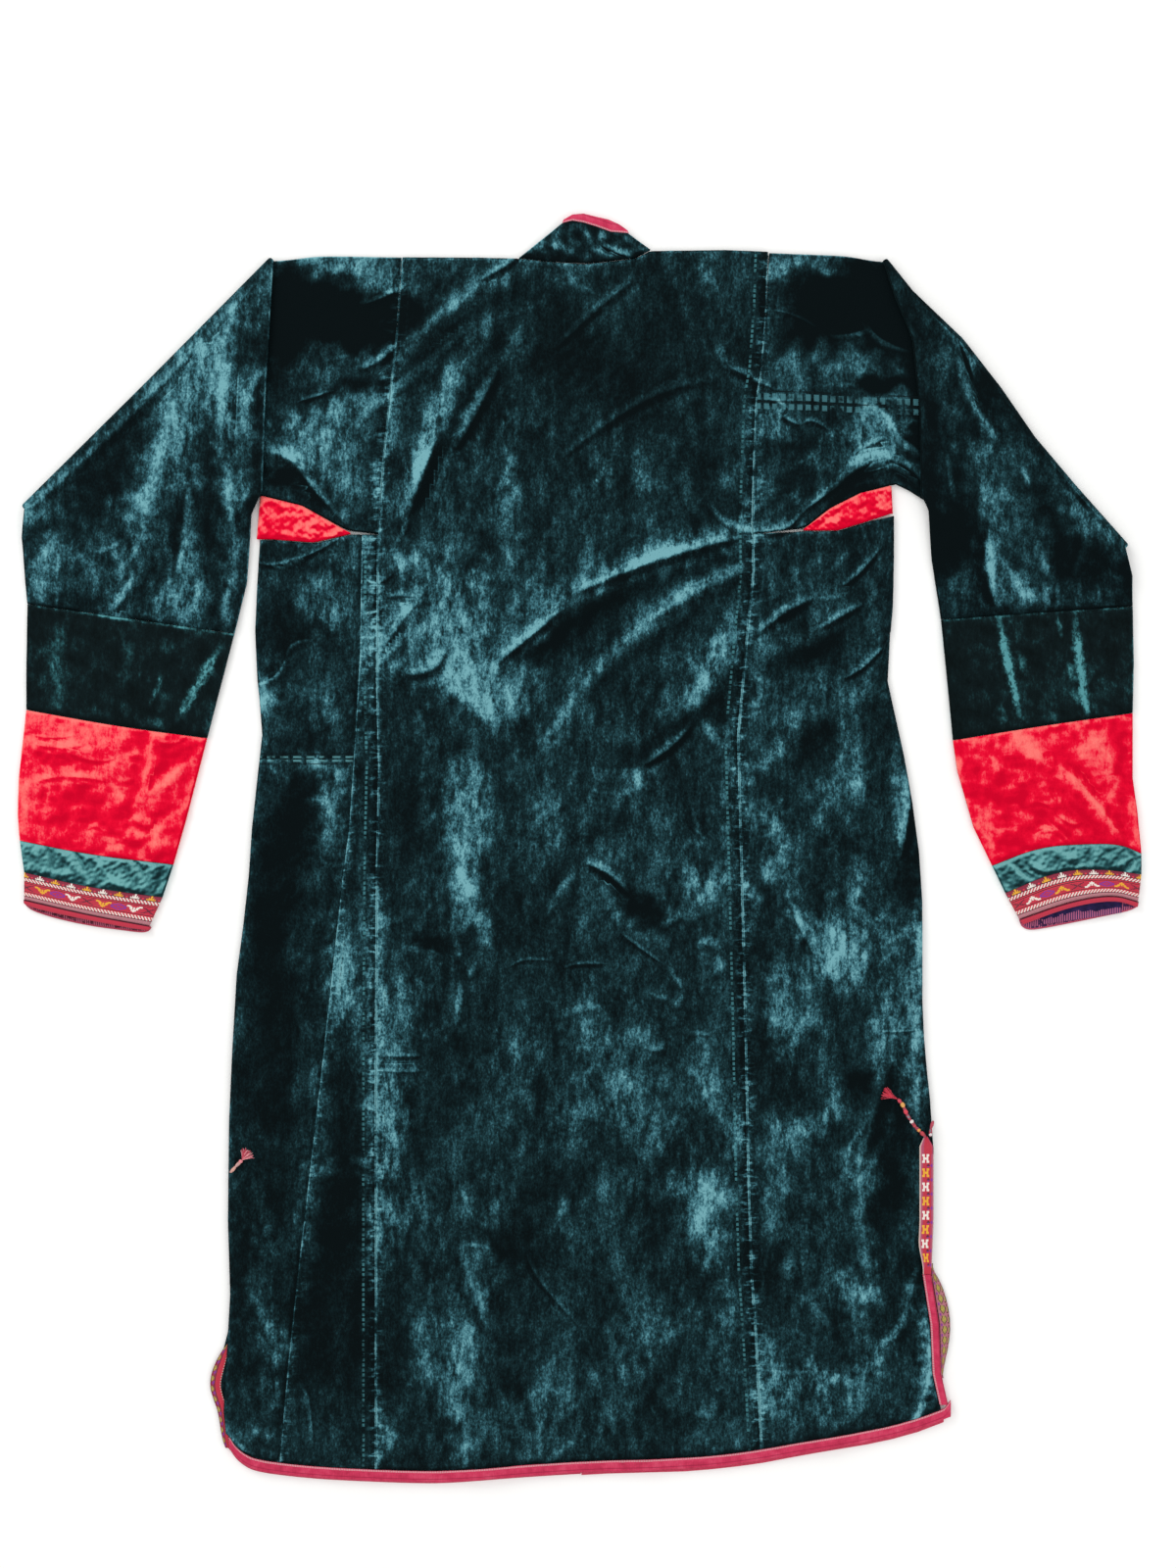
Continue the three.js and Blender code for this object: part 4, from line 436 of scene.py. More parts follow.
def slopeLight(points, turn=118.0, gain=2.6):
    # how far the surface tips towards one side, -dz/dx cos(turn) - dz/dy sin(turn), times gain;
    # the slopes come from the grid itself
    x, y, z = points[..., 0], points[..., 1], points[..., 2]
    dxi, dxj = np.gradient(x, axis=0), np.gradient(x, axis=1)
    dyi, dyj = np.gradient(y, axis=0), np.gradient(y, axis=1)
    dzi, dzj = np.gradient(z, axis=0), np.gradient(z, axis=1)
    det = dxi * dyj - dxj * dyi
    det = np.where(np.abs(det) < 1e-6, 1e-6, det)
    sx, sy = (dzi * dyj - dzj * dyi) / det, (dxi * dzj - dxj * dzi) / det
    a = math.radians(turn)
    tip = -(sx * math.cos(a) + sy * math.sin(a))
    return np.clip(tip * gain, -1, 1)


def shade(text):
    # hex colour to linear
    parts = [int(text[i:i + 2], 16) / 255 for i in (1, 3, 5)]
    return tuple(c / 12.92 if c <= 0.04045 else ((c + 0.055) / 1.055) ** 2.4 for c in parts) + (1.0,)


def wire(tree, source, target):
    tree.links.new(source, target)


def mathNode(tree, kind, a, b=None, clamp=False):
    node = tree.nodes.new("ShaderNodeMath")
    node.operation = kind
    node.use_clamp = clamp
    for i, value in enumerate((a, b)):
        if value is None:
            continue
        if isinstance(value, (int, float)):
            node.inputs[i].default_value = value
        else:
            wire(tree, value, node.inputs[i])
    return node.outputs[0]


def plus(tree, a, b, clamp=False):
    return mathNode(tree, "ADD", a, b, clamp)


def minus(tree, a, b, clamp=False):
    return mathNode(tree, "SUBTRACT", a, b, clamp)


def times(tree, a, b):
    return mathNode(tree, "MULTIPLY", a, b)


def lessThan(tree, a, b):
    return mathNode(tree, "LESS_THAN", a, b)


def objectPlace(tree):
    return tree.nodes.new("ShaderNodeTexCoord").outputs["Object"]


def factor(tree, name):
    # a value that the mesh carries under this name
    node = tree.nodes.new("ShaderNodeAttribute")
    node.attribute_name = name
    return node.outputs["Fac"]


def noiseNode(tree, vector, size, detail=3.0, rough=0.55, stretch=(1, 1, 1), turn=0.0):
    # size is the blotch in millimetres
    mapping = tree.nodes.new("ShaderNodeMapping")
    mapping.inputs["Scale"].default_value = stretch
    mapping.inputs["Rotation"].default_value = (0, 0, math.radians(turn))
    wire(tree, vector, mapping.inputs["Vector"])
    node = tree.nodes.new("ShaderNodeTexNoise")
    node.inputs["Scale"].default_value = 1000.0 / size
    node.inputs["Detail"].default_value = detail
    node.inputs["Roughness"].default_value = rough
    wire(tree, mapping.outputs["Vector"], node.inputs["Vector"])
    return node.outputs["Fac"]


def rampNode(tree, value, stops):
    # colours at places from 0 to 1, blended between them
    node = tree.nodes.new("ShaderNodeValToRGB")
    ramp = node.color_ramp
    while len(ramp.elements) > 1:
        ramp.elements.remove(ramp.elements[-1])
    for i, (place, colour) in enumerate(stops):
        e = ramp.elements[0] if i == 0 else ramp.elements.new(place)
        e.position = place
        e.color = shade(colour)
    wire(tree, value, node.inputs["Fac"])
    return node.outputs["Color"]


def newGroup(name, inputs, outputs):
    tree = bpy.data.node_groups.new(name, "ShaderNodeTree")
    for label, default in inputs:
        s = tree.interface.new_socket(name=label, in_out="INPUT", socket_type="NodeSocketFloat")
        s.default_value = default
    for label, kind in outputs:
        tree.interface.new_socket(name=label, in_out="OUTPUT", socket_type=kind)
    return tree, tree.nodes.new("NodeGroupInput"), tree.nodes.new("NodeGroupOutput")


def makePileGroup():
    # crushed pile: its own mottle, shown as painted sheen, drawn out along the cloth, its contrast
    # raised, then laid over the tone and painted light:
    # mask = tone * (1 - mottle + 2 * mottle * spread) + crumple * (spread - 0.5) + grain + vein
    tree, gin, gout = newGroup("pileMask", [("Nap", 0.0), ("Mottle", 0.6), ("Crumple", 0.3),
                                            ("Grain", 0.3), ("Vein", 0.0)],
                               [("Mask", "NodeSocketFloat"), ("Height", "NodeSocketFloat")])
    place = objectPlace(tree)
    broad = noiseNode(tree, place, 46, 9, 0.76, (1.0, 0.55, 1.0))
    streak = noiseNode(tree, place, 8, 6, 0.72, (1.0, 0.34, 1.0), 5)
    nub = noiseNode(tree, place, 1.7, 2, 0.65, (1.0, 0.6, 1.0))
    mixed = plus(tree, times(tree, broad, 0.5), times(tree, streak, 0.5))
    spread = plus(tree, times(tree, minus(tree, mixed, 0.5), 5.0), 0.5, True)
    swing = times(tree, minus(tree, times(tree, spread, 2.0), 1.0), gin.outputs["Mottle"])
    total = times(tree, gin.outputs["Nap"], plus(tree, swing, 1.0))
    total = plus(tree, total, times(tree, minus(tree, spread, 0.5), gin.outputs["Crumple"]))
    fleck = times(tree, minus(tree, nub, 0.5), times(tree, gin.outputs["Grain"], plus(tree, total, 0.6)))
    total = plus(tree, total, times(tree, fleck, 2.0))
    # small wrinkles, painted as highlights in the mask and raised in the bump: bright where a noise n
    # crosses its middle, max(0, 1 - |9 (n - 0.5)|) - 0.3
    wrinkle = noiseNode(tree, place, 15, 4, 0.62, (1, 1.3, 1), 30)
    crossing = mathNode(tree, "ABSOLUTE", times(tree, minus(tree, wrinkle, 0.5), 9.0))
    vein = times(tree, minus(tree, minus(tree, 1.0, crossing, True), 0.3), gin.outputs["Vein"])
    wire(tree, plus(tree, total, vein, True), gout.inputs["Mask"])
    height = plus(tree, times(tree, streak, 0.6), times(tree, nub, 0.4))
    wire(tree, plus(tree, height, vein), gout.inputs["Height"])
    return tree


def mapNode(tree, value, low, high, first=0.0, last=1.0):
    # smooth step of value from low to high
    node = tree.nodes.new("ShaderNodeMapRange")
    node.interpolation_type = "SMOOTHSTEP"
    for i, number in ((1, low), (2, high), (3, first), (4, last)):
        node.inputs[i].default_value = number
    wire(tree, value, node.inputs[0])
    return node.outputs[0]


def makeCreaseGroup():
    # a crease is bright and soft on its lit side and sharp towards its shaded side,
    # with a dark trough beyond
    tree, gin, gout = newGroup("creaseLight", [("Fold", 9.0), ("Light", 0.0)],
                               [("Glow", "NodeSocketFloat"), ("Shadow", "NodeSocketFloat")])
    place = objectPlace(tree)
    ragged = noiseNode(tree, place, 5.5, 4, 0.7)
    fine = noiseNode(tree, place, 2.4, 2, 0.6, (1.0, 0.6, 1.0))
    lit = mathNode(tree, "MAXIMUM", gin.outputs["Fold"], times(tree, gin.outputs["Fold"], -2.2))
    lit = plus(tree, lit, times(tree, minus(tree, ragged, 0.5), 2.4))
    glow = times(tree, mapNode(tree, lit, 1.7, 0.1), gin.outputs["Light"])
    wire(tree, times(tree, glow, plus(tree, times(tree, fine, 2.2), -0.15)), gout.inputs["Glow"])
    beyond = times(tree, gin.outputs["Fold"], -1.0)
    dark = times(tree, mapNode(tree, beyond, 0.3, 1.0), mapNode(tree, beyond, 3.2, 1.2))
    wire(tree, times(tree, dark, gin.outputs["Light"]), gout.inputs["Shadow"])
    return tree


def makeStitchGroup():
    # stitches: dashes of a given pitch along Run where Away is within Thread of Row, worn in places
    tree, gin, gout = newGroup("stitchLine", [("Away", 0.0), ("Run", 0.0), ("Row", 4.0), ("Pitch", 5.0),
                                              ("Thread", 0.8)], [("Mask", "NodeSocketFloat")])
    off = mathNode(tree, "ABSOLUTE", minus(tree, gin.outputs["Away"], gin.outputs["Row"]))
    worn = noiseNode(tree, objectPlace(tree), 16, 3, 0.6)
    line = times(tree, lessThan(tree, off, gin.outputs["Thread"]), mapNode(tree, worn, 0.38, 0.56))
    wave = mathNode(tree, "FRACT", mathNode(tree, "DIVIDE", gin.outputs["Run"], gin.outputs["Pitch"]))
    dash = lessThan(tree, wave, 0.62)
    wire(tree, times(tree, line, dash), gout.inputs["Mask"])
    return tree


pileGroup = makePileGroup()
stitchGroup = makeStitchGroup()
creaseGroup = makeCreaseGroup()


def placeGroup(tree, group, **values):
    # a group with numbers or other nodes' outputs as its inputs
    node = tree.nodes.new("ShaderNodeGroup")
    node.node_tree = group
    for key, value in values.items():
        if isinstance(value, (int, float)):
            node.inputs[key].default_value = value
        else:
            wire(tree, value, node.inputs[key])
    return node


def mixColour(tree, fac, a, b, kind="MIX"):
    # a * (1 - fac) + b * fac, or the blend that kind names
    node = tree.nodes.new("ShaderNodeMix")
    node.data_type = "RGBA"
    node.blend_type = kind
    node.clamp_factor = True
    for socket, value in ((node.inputs["Factor"], fac), (node.inputs[6], a), (node.inputs[7], b)):
        if isinstance(value, (int, float)):
            socket.default_value = value
        elif isinstance(value, str):
            socket.default_value = shade(value)
        else:
            wire(tree, value, socket)
    return node.outputs[2]


def newMaterial(name, rough, sheen=0.0, specular=0.2, tint="#ffffff"):
    material = bpy.data.materials.new(name)
    material.use_nodes = True
    shader = material.node_tree.nodes["Principled BSDF"]
    shader.inputs["Roughness"].default_value = rough
    shader.inputs["Specular IOR Level"].default_value = specular
    shader.inputs["Sheen Weight"].default_value = sheen
    shader.inputs["Sheen Roughness"].default_value = 0.4
    shader.inputs["Sheen Tint"].default_value = shade(tint)
    return material, material.node_tree, shader


def addBump(tree, shader, height, strength, distance):
    # relief of the given height in millimetres
    bump = tree.nodes.new("ShaderNodeBump")
    bump.inputs["Strength"].default_value = strength
    bump.inputs["Distance"].default_value = distance * mm
    wire(tree, height, bump.inputs["Height"])
    wire(tree, bump.outputs["Normal"], shader.inputs["Normal"])


# seams are (edge, strength); stitches are (edge, along, row, pitch, thread, colour, strength)
def pileMaterial(name, stops, look, sheen=0.05, tint="#7fc6cc", stitches=(), seams=(), base=0.0):
    material, tree, shader = newMaterial(name, 0.9, sheen, 0.05, tint)
    # the mesh's tone value: the cloth's own tone with painted sheen, painted shade and painted slope
    # light
    toneAndLight = plus(tree, factor(tree, "toneAndLight"), base)
    pile = placeGroup(tree, pileGroup, Nap=toneAndLight, Mottle=look["mottle"], Crumple=look["crumple"],
                      Grain=look["grain"], Vein=look["vein"])
    crease = placeGroup(tree, creaseGroup, Fold=factor(tree, "fold"), Light=factor(tree, "foldLight"))
    mask, height = pile.outputs["Mask"], pile.outputs["Height"]
    # painted highlight along the creases' crests and painted shadow in their troughs
    mask = plus(tree, mask, times(tree, crease.outputs["Glow"], look["glow"]))
    mask = minus(tree, mask, times(tree, crease.outputs["Shadow"], look["shadow"]), True)
    place = objectPlace(tree)
    # painted sheen: a lighter line where the pile stands up along a seam, with painted highlights on the
    # puckers beside it
    for edge, strength in seams:  # the pile stands up along a seam, in broken lengths
        away = plus(tree, factor(tree, edge), times(tree, noiseNode(tree, place, 3, 2), 1.4))
        gaps = mapNode(tree, noiseNode(tree, place, 22, 4, 0.7, (0.3, 1.0, 1.0)), 0.4, 0.56, 0.25, 1.0)
        line = times(tree, mapNode(tree, away, 2.1, 1.2), gaps)
        bumps = noiseNode(tree, place, 4.2, 3, 0.6, (0.3, 1.0, 1.0), -8)
        pucker = times(tree, mapNode(tree, bumps, 0.5, 0.66, -0.16, 0.5), strength)
        mask = plus(tree, mask, times(tree, mapNode(tree, away, 12, 3), pucker), True)
        mask = plus(tree, mask, times(tree, line, strength), True)
    colour = rampNode(tree, mask, stops)
    for edge, along, row, pitch, thread, light, strength in stitches:
        line = placeGroup(tree, stitchGroup, Away=factor(tree, edge), Run=factor(tree, along),
                          Row=row, Pitch=pitch, Thread=thread).outputs["Mask"]
        colour = mixColour(tree, times(tree, line, strength), colour, light)
        height = minus(tree, height, times(tree, line, 0.5))
    wire(tree, colour, shader.inputs["Base Color"])
    wire(tree, minus(tree, 0.95, times(tree, mask, 0.25)), shader.inputs["Roughness"])
    addBump(tree, shader, height, 0.6, 1.6)
    return material


greenStops = [(0.0, "#050d0f"), (0.16, "#08171a"), (0.32, "#10262a"), (0.5, "#1f4148"),
              (0.68, "#396974"), (0.84, "#52868f"), (1.0, "#6ca2aa")]
bandStops = [(0.0, "#070f10"), (0.3, "#0b181a"), (0.5, "#122a2d"), (0.72, "#265257"), (1.0, "#4f8e94")]
redStops = [(0.0, "#c80026"), (0.26, "#dc042c"), (0.38, "#e40e34"), (0.48, "#ea384a"), (0.64, "#ee565a"),
            (1.0, "#f2716c")]
tealStops = [(0.0, "#10272a"), (0.25, "#1f464a"), (0.5, "#38696d"), (0.7, "#4c8587"), (1.0, "#6aa3a4")]
velvetLook = {"mottle": 0.56, "crumple": 0.15, "grain": 0.42, "glow": 0.5, "shadow": 0.26, "vein": 0.0}
bandLook = {"mottle": 0.45, "crumple": 0.2, "grain": 0.3, "glow": 0.85, "shadow": 0.3, "vein": 0.0}
softLook = {"mottle": 0.5, "crumple": 0.1, "grain": 0.24, "glow": 0.36, "shadow": 0.3, "vein": 0.14}
tealLook = {"mottle": 0.2, "crumple": 0.16, "grain": 0.14, "glow": 0.5, "shadow": 0.35, "vein": 0.04}
velvet = pileMaterial("velvet", greenStops, velvetLook, seams=[("fromRight", 0.8), ("fromLeft", 0.42)],
                      stitches=[("fromRight", "run", 11.4, 4.6, 1.1, "#4c8c94", 0.5),
                                ("fromRight", "run", 8.6, 5.2, 0.7, "#0c1a1c", 0.6),
                                ("fromLeft", "run", 8.0, 5.6, 0.6, "#0c1a1c", 0.5)])
velvetPlain = pileMaterial("velvetPlain", greenStops, velvetLook, seams=[("fromLeft", 0.6)])
velvetRoot = pileMaterial("velvetRoot", greenStops, velvetLook, seams=[("fromLeft", 0.35)],
                          stitches=[("sewn", "across", 8.0, 7.6, 3.0, "#4a8089", 0.55),
                                    ("sewn", "across", 17.0, 7.6, 2.6, "#4a8089", 0.55),
                                    ("sewn", "across", 3.0, 4000.0, 0.7, "#0a1416", 0.8),
                                    ("sewn", "across", 12.6, 4000.0, 0.8, "#0a1416", 0.8)])
velvetPieced = pileMaterial("velvetPieced", greenStops, velvetLook,
                            stitches=[("fromEnd", "across", 1.7, 12.0, 0.9, "#5f9aa0", 0.6),
                                      ("fromEnd", "across", 4.6, 4000.0, 0.6, "#0a1416", 0.7)])
velvetBand = pileMaterial("velvetBand", bandStops, bandLook, 0.08)
redVelvet = pileMaterial("redVelvet", redStops, softLook, 0.1, "#ffb0a0")
tealVelvet = pileMaterial("tealVelvet", tealStops, tealLook, 0.1)
velvetHidden = pileMaterial("velvetHidden", greenStops, velvetLook, base=0.26)
print("velvets made")


def bindingMaterial():
    # ribbed cotton: ribs run across the strip, with a pale line of stitches near its inner edge
    material, tree, shader = newMaterial("crimsonBinding", 0.8, 0.05, 0.15)
    run, away = factor(tree, "run"), factor(tree, "fromLeft")
    place = objectPlace(tree)
    worn = noiseNode(tree, place, 9, 4, 0.65)
    colour = rampNode(tree, worn, [(0.25, "#ac2344"), (0.5, "#ca3458"), (0.75, "#d8506e")])
    rib = mathNode(tree, "SINE", times(tree, run, 4.2))
    colour = mixColour(tree, times(tree, plus(tree, rib, 1.0), 0.12), colour, "#7c2236")
    edge = lessThan(tree, plus(tree, away, times(tree, worn, 1.2)), 2.1)
    fine = times(tree, edge, mapNode(tree, rib, -0.9, 0.2))
    deep = lessThan(tree, mathNode(tree, "ABSOLUTE", minus(tree, away, 7.0)), 0.45)
    colour = mixColour(tree, times(tree, deep, 0.6), colour, "#8c1638")
    colour = mixColour(tree, times(tree, fine, 0.7), colour, "#dcb4b8")
    wire(tree, colour, shader.inputs["Base Color"])
    height = plus(tree, times(tree, rib, 0.3), times(tree, fine, -0.6))
    addBump(tree, shader, height, 0.5, 0.5)
    return material


def wovenMaterial():
    # thread colours come from the chart, with fuzz and wear over them
    material, tree, shader = newMaterial("wovenTrim", 0.75, 0.0, 0.2)
    thread = tree.nodes.new("ShaderNodeAttribute")
    thread.attribute_name = "thread"
    place = objectPlace(tree)
    fuzz = noiseNode(tree, place, 1.2, 2, 0.6)
    worn = noiseNode(tree, place, 14, 3, 0.6)
    colour = mixColour(tree, times(tree, fuzz, 0.35), thread.outputs["Color"], "#3a1020", "MULTIPLY")
    colour = mixColour(tree, times(tree, worn, 0.07), colour, "#d8b8a8")
    wire(tree, colour, shader.inputs["Base Color"])
    addBump(tree, shader, fuzz, 0.5, 0.5)
    return material


def facingMaterial():
    # dark blue-violet lining with upright pink stitches towards the lip
    material, tree, shader = newMaterial("cuffFacing", 0.8, 0.0, 0.15)
    run, away = factor(tree, "run"), factor(tree, "fromRight")
    place = objectPlace(tree)
    worn = noiseNode(tree, place, 8, 4, 0.6)
    colour = rampNode(tree, worn, [(0.3, "#150f30"), (0.55, "#281e4c"), (0.8, "#3c2c5e")])
    ragged = plus(tree, 1.0, times(tree, worn, 9.0))
    band = lessThan(tree, away, ragged)
    wave = mathNode(tree, "FRACT", mathNode(tree, "DIVIDE", run, 2.1))
    dash = times(tree, band, lessThan(tree, wave, 0.5))
    colour = mixColour(tree, times(tree, dash, 0.8), colour, "#c46a8c")
    wire(tree, colour, shader.inputs["Base Color"])
    addBump(tree, shader, plus(tree, worn, dash), 0.4, 0.6)
    return material


def plainCrimsonMaterial():
    # crimson cotton without ribs or stitches
    material, tree, shader = newMaterial("crimsonPlain", 0.6, 0.1, 0.3)
    place = objectPlace(tree)
    colour = rampNode(tree, noiseNode(tree, place, 1.5, 3, 0.6), [(0.3, "#b02848"), (0.7, "#cc3c5c")])
    wire(tree, colour, shader.inputs["Base Color"])
    addBump(tree, shader, noiseNode(tree, place, 0.6, 2, 0.6), 0.4, 0.3)
    return material


def lipMaterial(name, deep, light, stitch, rim):
    # inside of a cuff's lower edge: lining with upright stitches, then the piping along the rim
    material, tree, shader = newMaterial(name, 0.8, 0.0, 0.15)
    run, away = factor(tree, "run"), factor(tree, "fromRight")
    place = objectPlace(tree)
    worn = noiseNode(tree, place, 5, 4, 0.6)
    colour = rampNode(tree, worn, [(0.3, deep), (0.7, light)])
    wave = mathNode(tree, "FRACT", mathNode(tree, "DIVIDE", run, 2.0))
    dash = times(tree, lessThan(tree, wave, 0.42), mathNode(tree, "GREATER_THAN", worn, 0.45))
    colour = mixColour(tree, dash, colour, stitch)
    colour = mixColour(tree, lessThan(tree, away, 1.5), colour, rim)
    wire(tree, colour, shader.inputs["Base Color"])
    addBump(tree, shader, worn, 0.5, 0.6)
    return material


def pipingMaterial():
    # a dark red cord with ribs across it and a dark line beside the trim
    material, tree, shader = newMaterial("cuffPiping", 0.7, 0.05, 0.2)
    rib = mathNode(tree, "SINE", times(tree, factor(tree, "run"), 5.0))
    colour = mixColour(tree, times(tree, plus(tree, rib, 1.0), 0.14), "#c03448", "#8e1c34")
    colour = mixColour(tree, lessThan(tree, factor(tree, "fromLeft"), 1.0), colour, "#4c1022")
    wire(tree, colour, shader.inputs["Base Color"])
    addBump(tree, shader, rib, 0.4, 0.4)
    return material


crimson = bindingMaterial()
woven = wovenMaterial()
facing = facingMaterial()
crimsonPlain = plainCrimsonMaterial()
lowerLip = {"left": lipMaterial("lipLeft", "#3c1220", "#6e2a3e", "#b8627a", "#a83a50"),
            "right": lipMaterial("lipRight", "#2a1840", "#5a2c50", "#b8607c", "#b04860")}
cuffPiping = pipingMaterial()
print("trims' materials made")


def makeMesh(name, points, material, attributes=None, closed=False, colours=None, wall=1.8,
             rolled=False):
    # points is a grid of rows by columns; closed joins the last column to the first
    rows, cols = points.shape[:2]
    index = np.arange(rows * cols).reshape(rows, cols)
    nextCol = np.roll(index, -1, axis=1) if closed else index[:, 1:]
    thisCol = index if closed else index[:, :-1]
    faces = np.stack([thisCol[:-1], thisCol[1:], nextCol[1:], nextCol[:-1]], axis=-1).reshape(-1, 4)
    flat = points.reshape(-1, 3)
    normals = np.cross(flat[faces[:, 2]] - flat[faces[:, 0]], flat[faces[:, 3]] - flat[faces[:, 1]])
    # a sheet faces up; a tube faces away from its middle
    outward = (normals * (flat[faces].mean(axis=1) - flat.mean(axis=0))).sum()
    if (outward if closed or rolled else normals[:, 2].sum()) < 0:
        faces = faces[:, ::-1]
    mesh = bpy.data.meshes.new(name)
    mesh.from_pydata((flat * mm).tolist(), [], faces.tolist())
    for key, values in (attributes or {}).items():
        layer = mesh.attributes.new(key, "FLOAT", "POINT")
        layer.data.foreach_set("value", np.ascontiguousarray(values, dtype=np.float32).ravel())
    if colours is not None:  # one colour for each face
        layer = mesh.attributes.new("thread", "FLOAT_COLOR", "CORNER")
        paint = np.repeat(colours.reshape(-1, 4), 4, axis=0).astype(np.float32)
        layer.data.foreach_set("color", paint.ravel())
    mesh.polygons.foreach_set("use_smooth", np.full(len(faces), True))
    mesh.materials.append(material)
    mesh.update()
    piece = bpy.data.objects.new(name, mesh)
    scene.collection.objects.link(piece)
    solidify = piece.modifiers.new("wall", "SOLIDIFY")
    solidify.thickness = wall * mm
    solidify.offset = -1.0
    solidify.use_even_offset = False
    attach(piece, "root")
    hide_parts(name)


def shares(length, step, fine=(0.0, 0.8, 1.8, 3.2)):
    # even columns with closer ones by both edges
    fine = np.array(fine)
    count = max(2, int(round((length - 2 * fine[-1]) / step)))
    middle = np.linspace(fine[-1], length - fine[-1], count + 1)[1:-1]
    return np.concatenate([fine, middle, length - fine[::-1]]) / length


def seamDip(away, deep=1.0, wide=2.0):
    # -deep * exp(-(away / wide)^2)
    return -deep * np.exp(-(away / wide) ** 2)


# the back: where its rows start and end, column step, the lengths over which rows come to follow
# the underarm, shoulder and hem, gap at the shoulder, even tone, strength of the painted sheen and shade
# patches and of the painted slope light
back = {"top": 545.0, "underarm": 288.0, "piecing": 81.0, "hem": -575.0, "step": 3.1, "lead": 77.7,
        "upper": 105, "lower": 175, "gap": 0.4, "toneAndLight": 0.265, "patch": 0.92, "slope": 0.3}
pucker = {"high": 0.35, "pitch": 11, "reach": 10, "clear": 3}
sewingZero = 600  # stitches along x and y are counted from here


def rowHeight(rowY, x):
    # first rows follow the shoulder, last rows follow the hem binding
    up = np.clip((rowY - back["top"] + back["upper"]) / back["upper"], 0, 1)
    down = np.clip((back["hem"] + back["lower"] - rowY) / back["lower"], 0, 1)
    toShoulder = shoulderAt(x) - back["gap"] - back["top"]
    toHem = hemAt(x) + cloth["binding"] + cloth["seam"] - back["hem"]
    return rowY + up * toShoulder + down * toHem


def backGrid(left, right, fromY, toY, width, topEdge=None):
    # rows from fromY down to toY, columns between two seams, both drawn to the piece's own edges
    rows = np.interp(shares(fromY - toY, back["step"]), [0, 1], [fromY, toY])[:, None]
    cols = shares(width, back["step"])[None, :]
    y = rows + 0 * cols
    for _ in range(4):
        lx, rx = left(y) + 0.15, right(y) - 0.15
        x = lx + (rx - lx) * cols
        y = rowHeight(rows, x)
        if topEdge is not None:
            y = (y + (topEdge(x) - cloth["seam"] - fromY)
                 * np.clip(1 - (fromY - rows) / back["lead"], 0, 1))
    return x, y, x - lx, rx - x


def backNap(x, y, points):
    # even tone + painted sheen and shade patches + painted slope light
    patches = sheenAndShade(x, y, sheenPatches, shadePatches)
    return back["toneAndLight"] + back["patch"] * patches + back["slope"] * slopeLight(points)


def backPiece(name, left, right, fromY, toY, width, material, topEdge=None, sewnBelow=False):
    # height = top of the back + folds + swell + creases + dips along the seams + puckers
    x, y, fromLeft, fromRight = backGrid(left, right, fromY, toY, width, topEdge)
    height, fold, light = creaseField(x, y, creases)
    z = backTop + foldHeight(x, y) + fineHeight(x, y) + height
    z += seamDip(fromLeft) + seamDip(fromRight)
    z += seamDip(np.abs(y - y[:1]), 0.8)
    z += seamDip(np.abs(y - y[-1:]), 0.8)
    # puckers beside the long seams
    beside = np.exp(-(fromRight / pucker["reach"]) ** 2)
    clear = 1 - np.exp(-(fromRight / pucker["clear"]) ** 2)
    z += pucker["high"] * np.sin(y * 2 * math.pi / pucker["pitch"]) * beside * clear
    points = np.stack([x, y, np.maximum(z, backTop - 0.9)], axis=-1)
    toneAndLight = backNap(x, y, points)
    sewn = y[-1:] if sewnBelow else y[:1]
    makeMesh(name, points, material,
             {"toneAndLight": toneAndLight, "fold": fold, "foldLight": light, "fromLeft": fromLeft, "fromRight": fromRight,
              "run": y + sewingZero, "across": x + sewingZero, "fromEnd": np.abs(y - sewn)})


leftSeamX, rightSeamX, goreX = lineX(seamLeft), lineX(seamRight), lineX(seamGore)
leftEdgeX, rightEdgeX = lineX(edgeLeft), lineX(edgeRight)


def rightPanelEdge(y):
    # the panel draws in 8.3 to make room for the slit's binding
    return rightEdgeX(y) - 8.3 * easeIn((-345 - y) / 40)


backPiece("back_centre", leftSeamX, rightSeamX, back["top"], back["hem"], 345, velvet)
backPiece("back_gore_left", goreX, leftSeamX, back["underarm"], back["hem"], 50, velvet,
          lineY(underarmLeft))
backPiece("back_side_left_upper", leftEdgeX, goreX, back["underarm"], back["piecing"], 94, velvetPieced,
          lineY(underarmLeft), sewnBelow=True)
backPiece("back_side_left_lower", leftEdgeX, goreX, back["piecing"], back["hem"], 75, velvetPieced)
backPiece("back_side_right", rightSeamX, rightPanelEdge, back["underarm"], back["hem"], 150, velvetPlain,
          lineY(underarmRight))
print("back made")


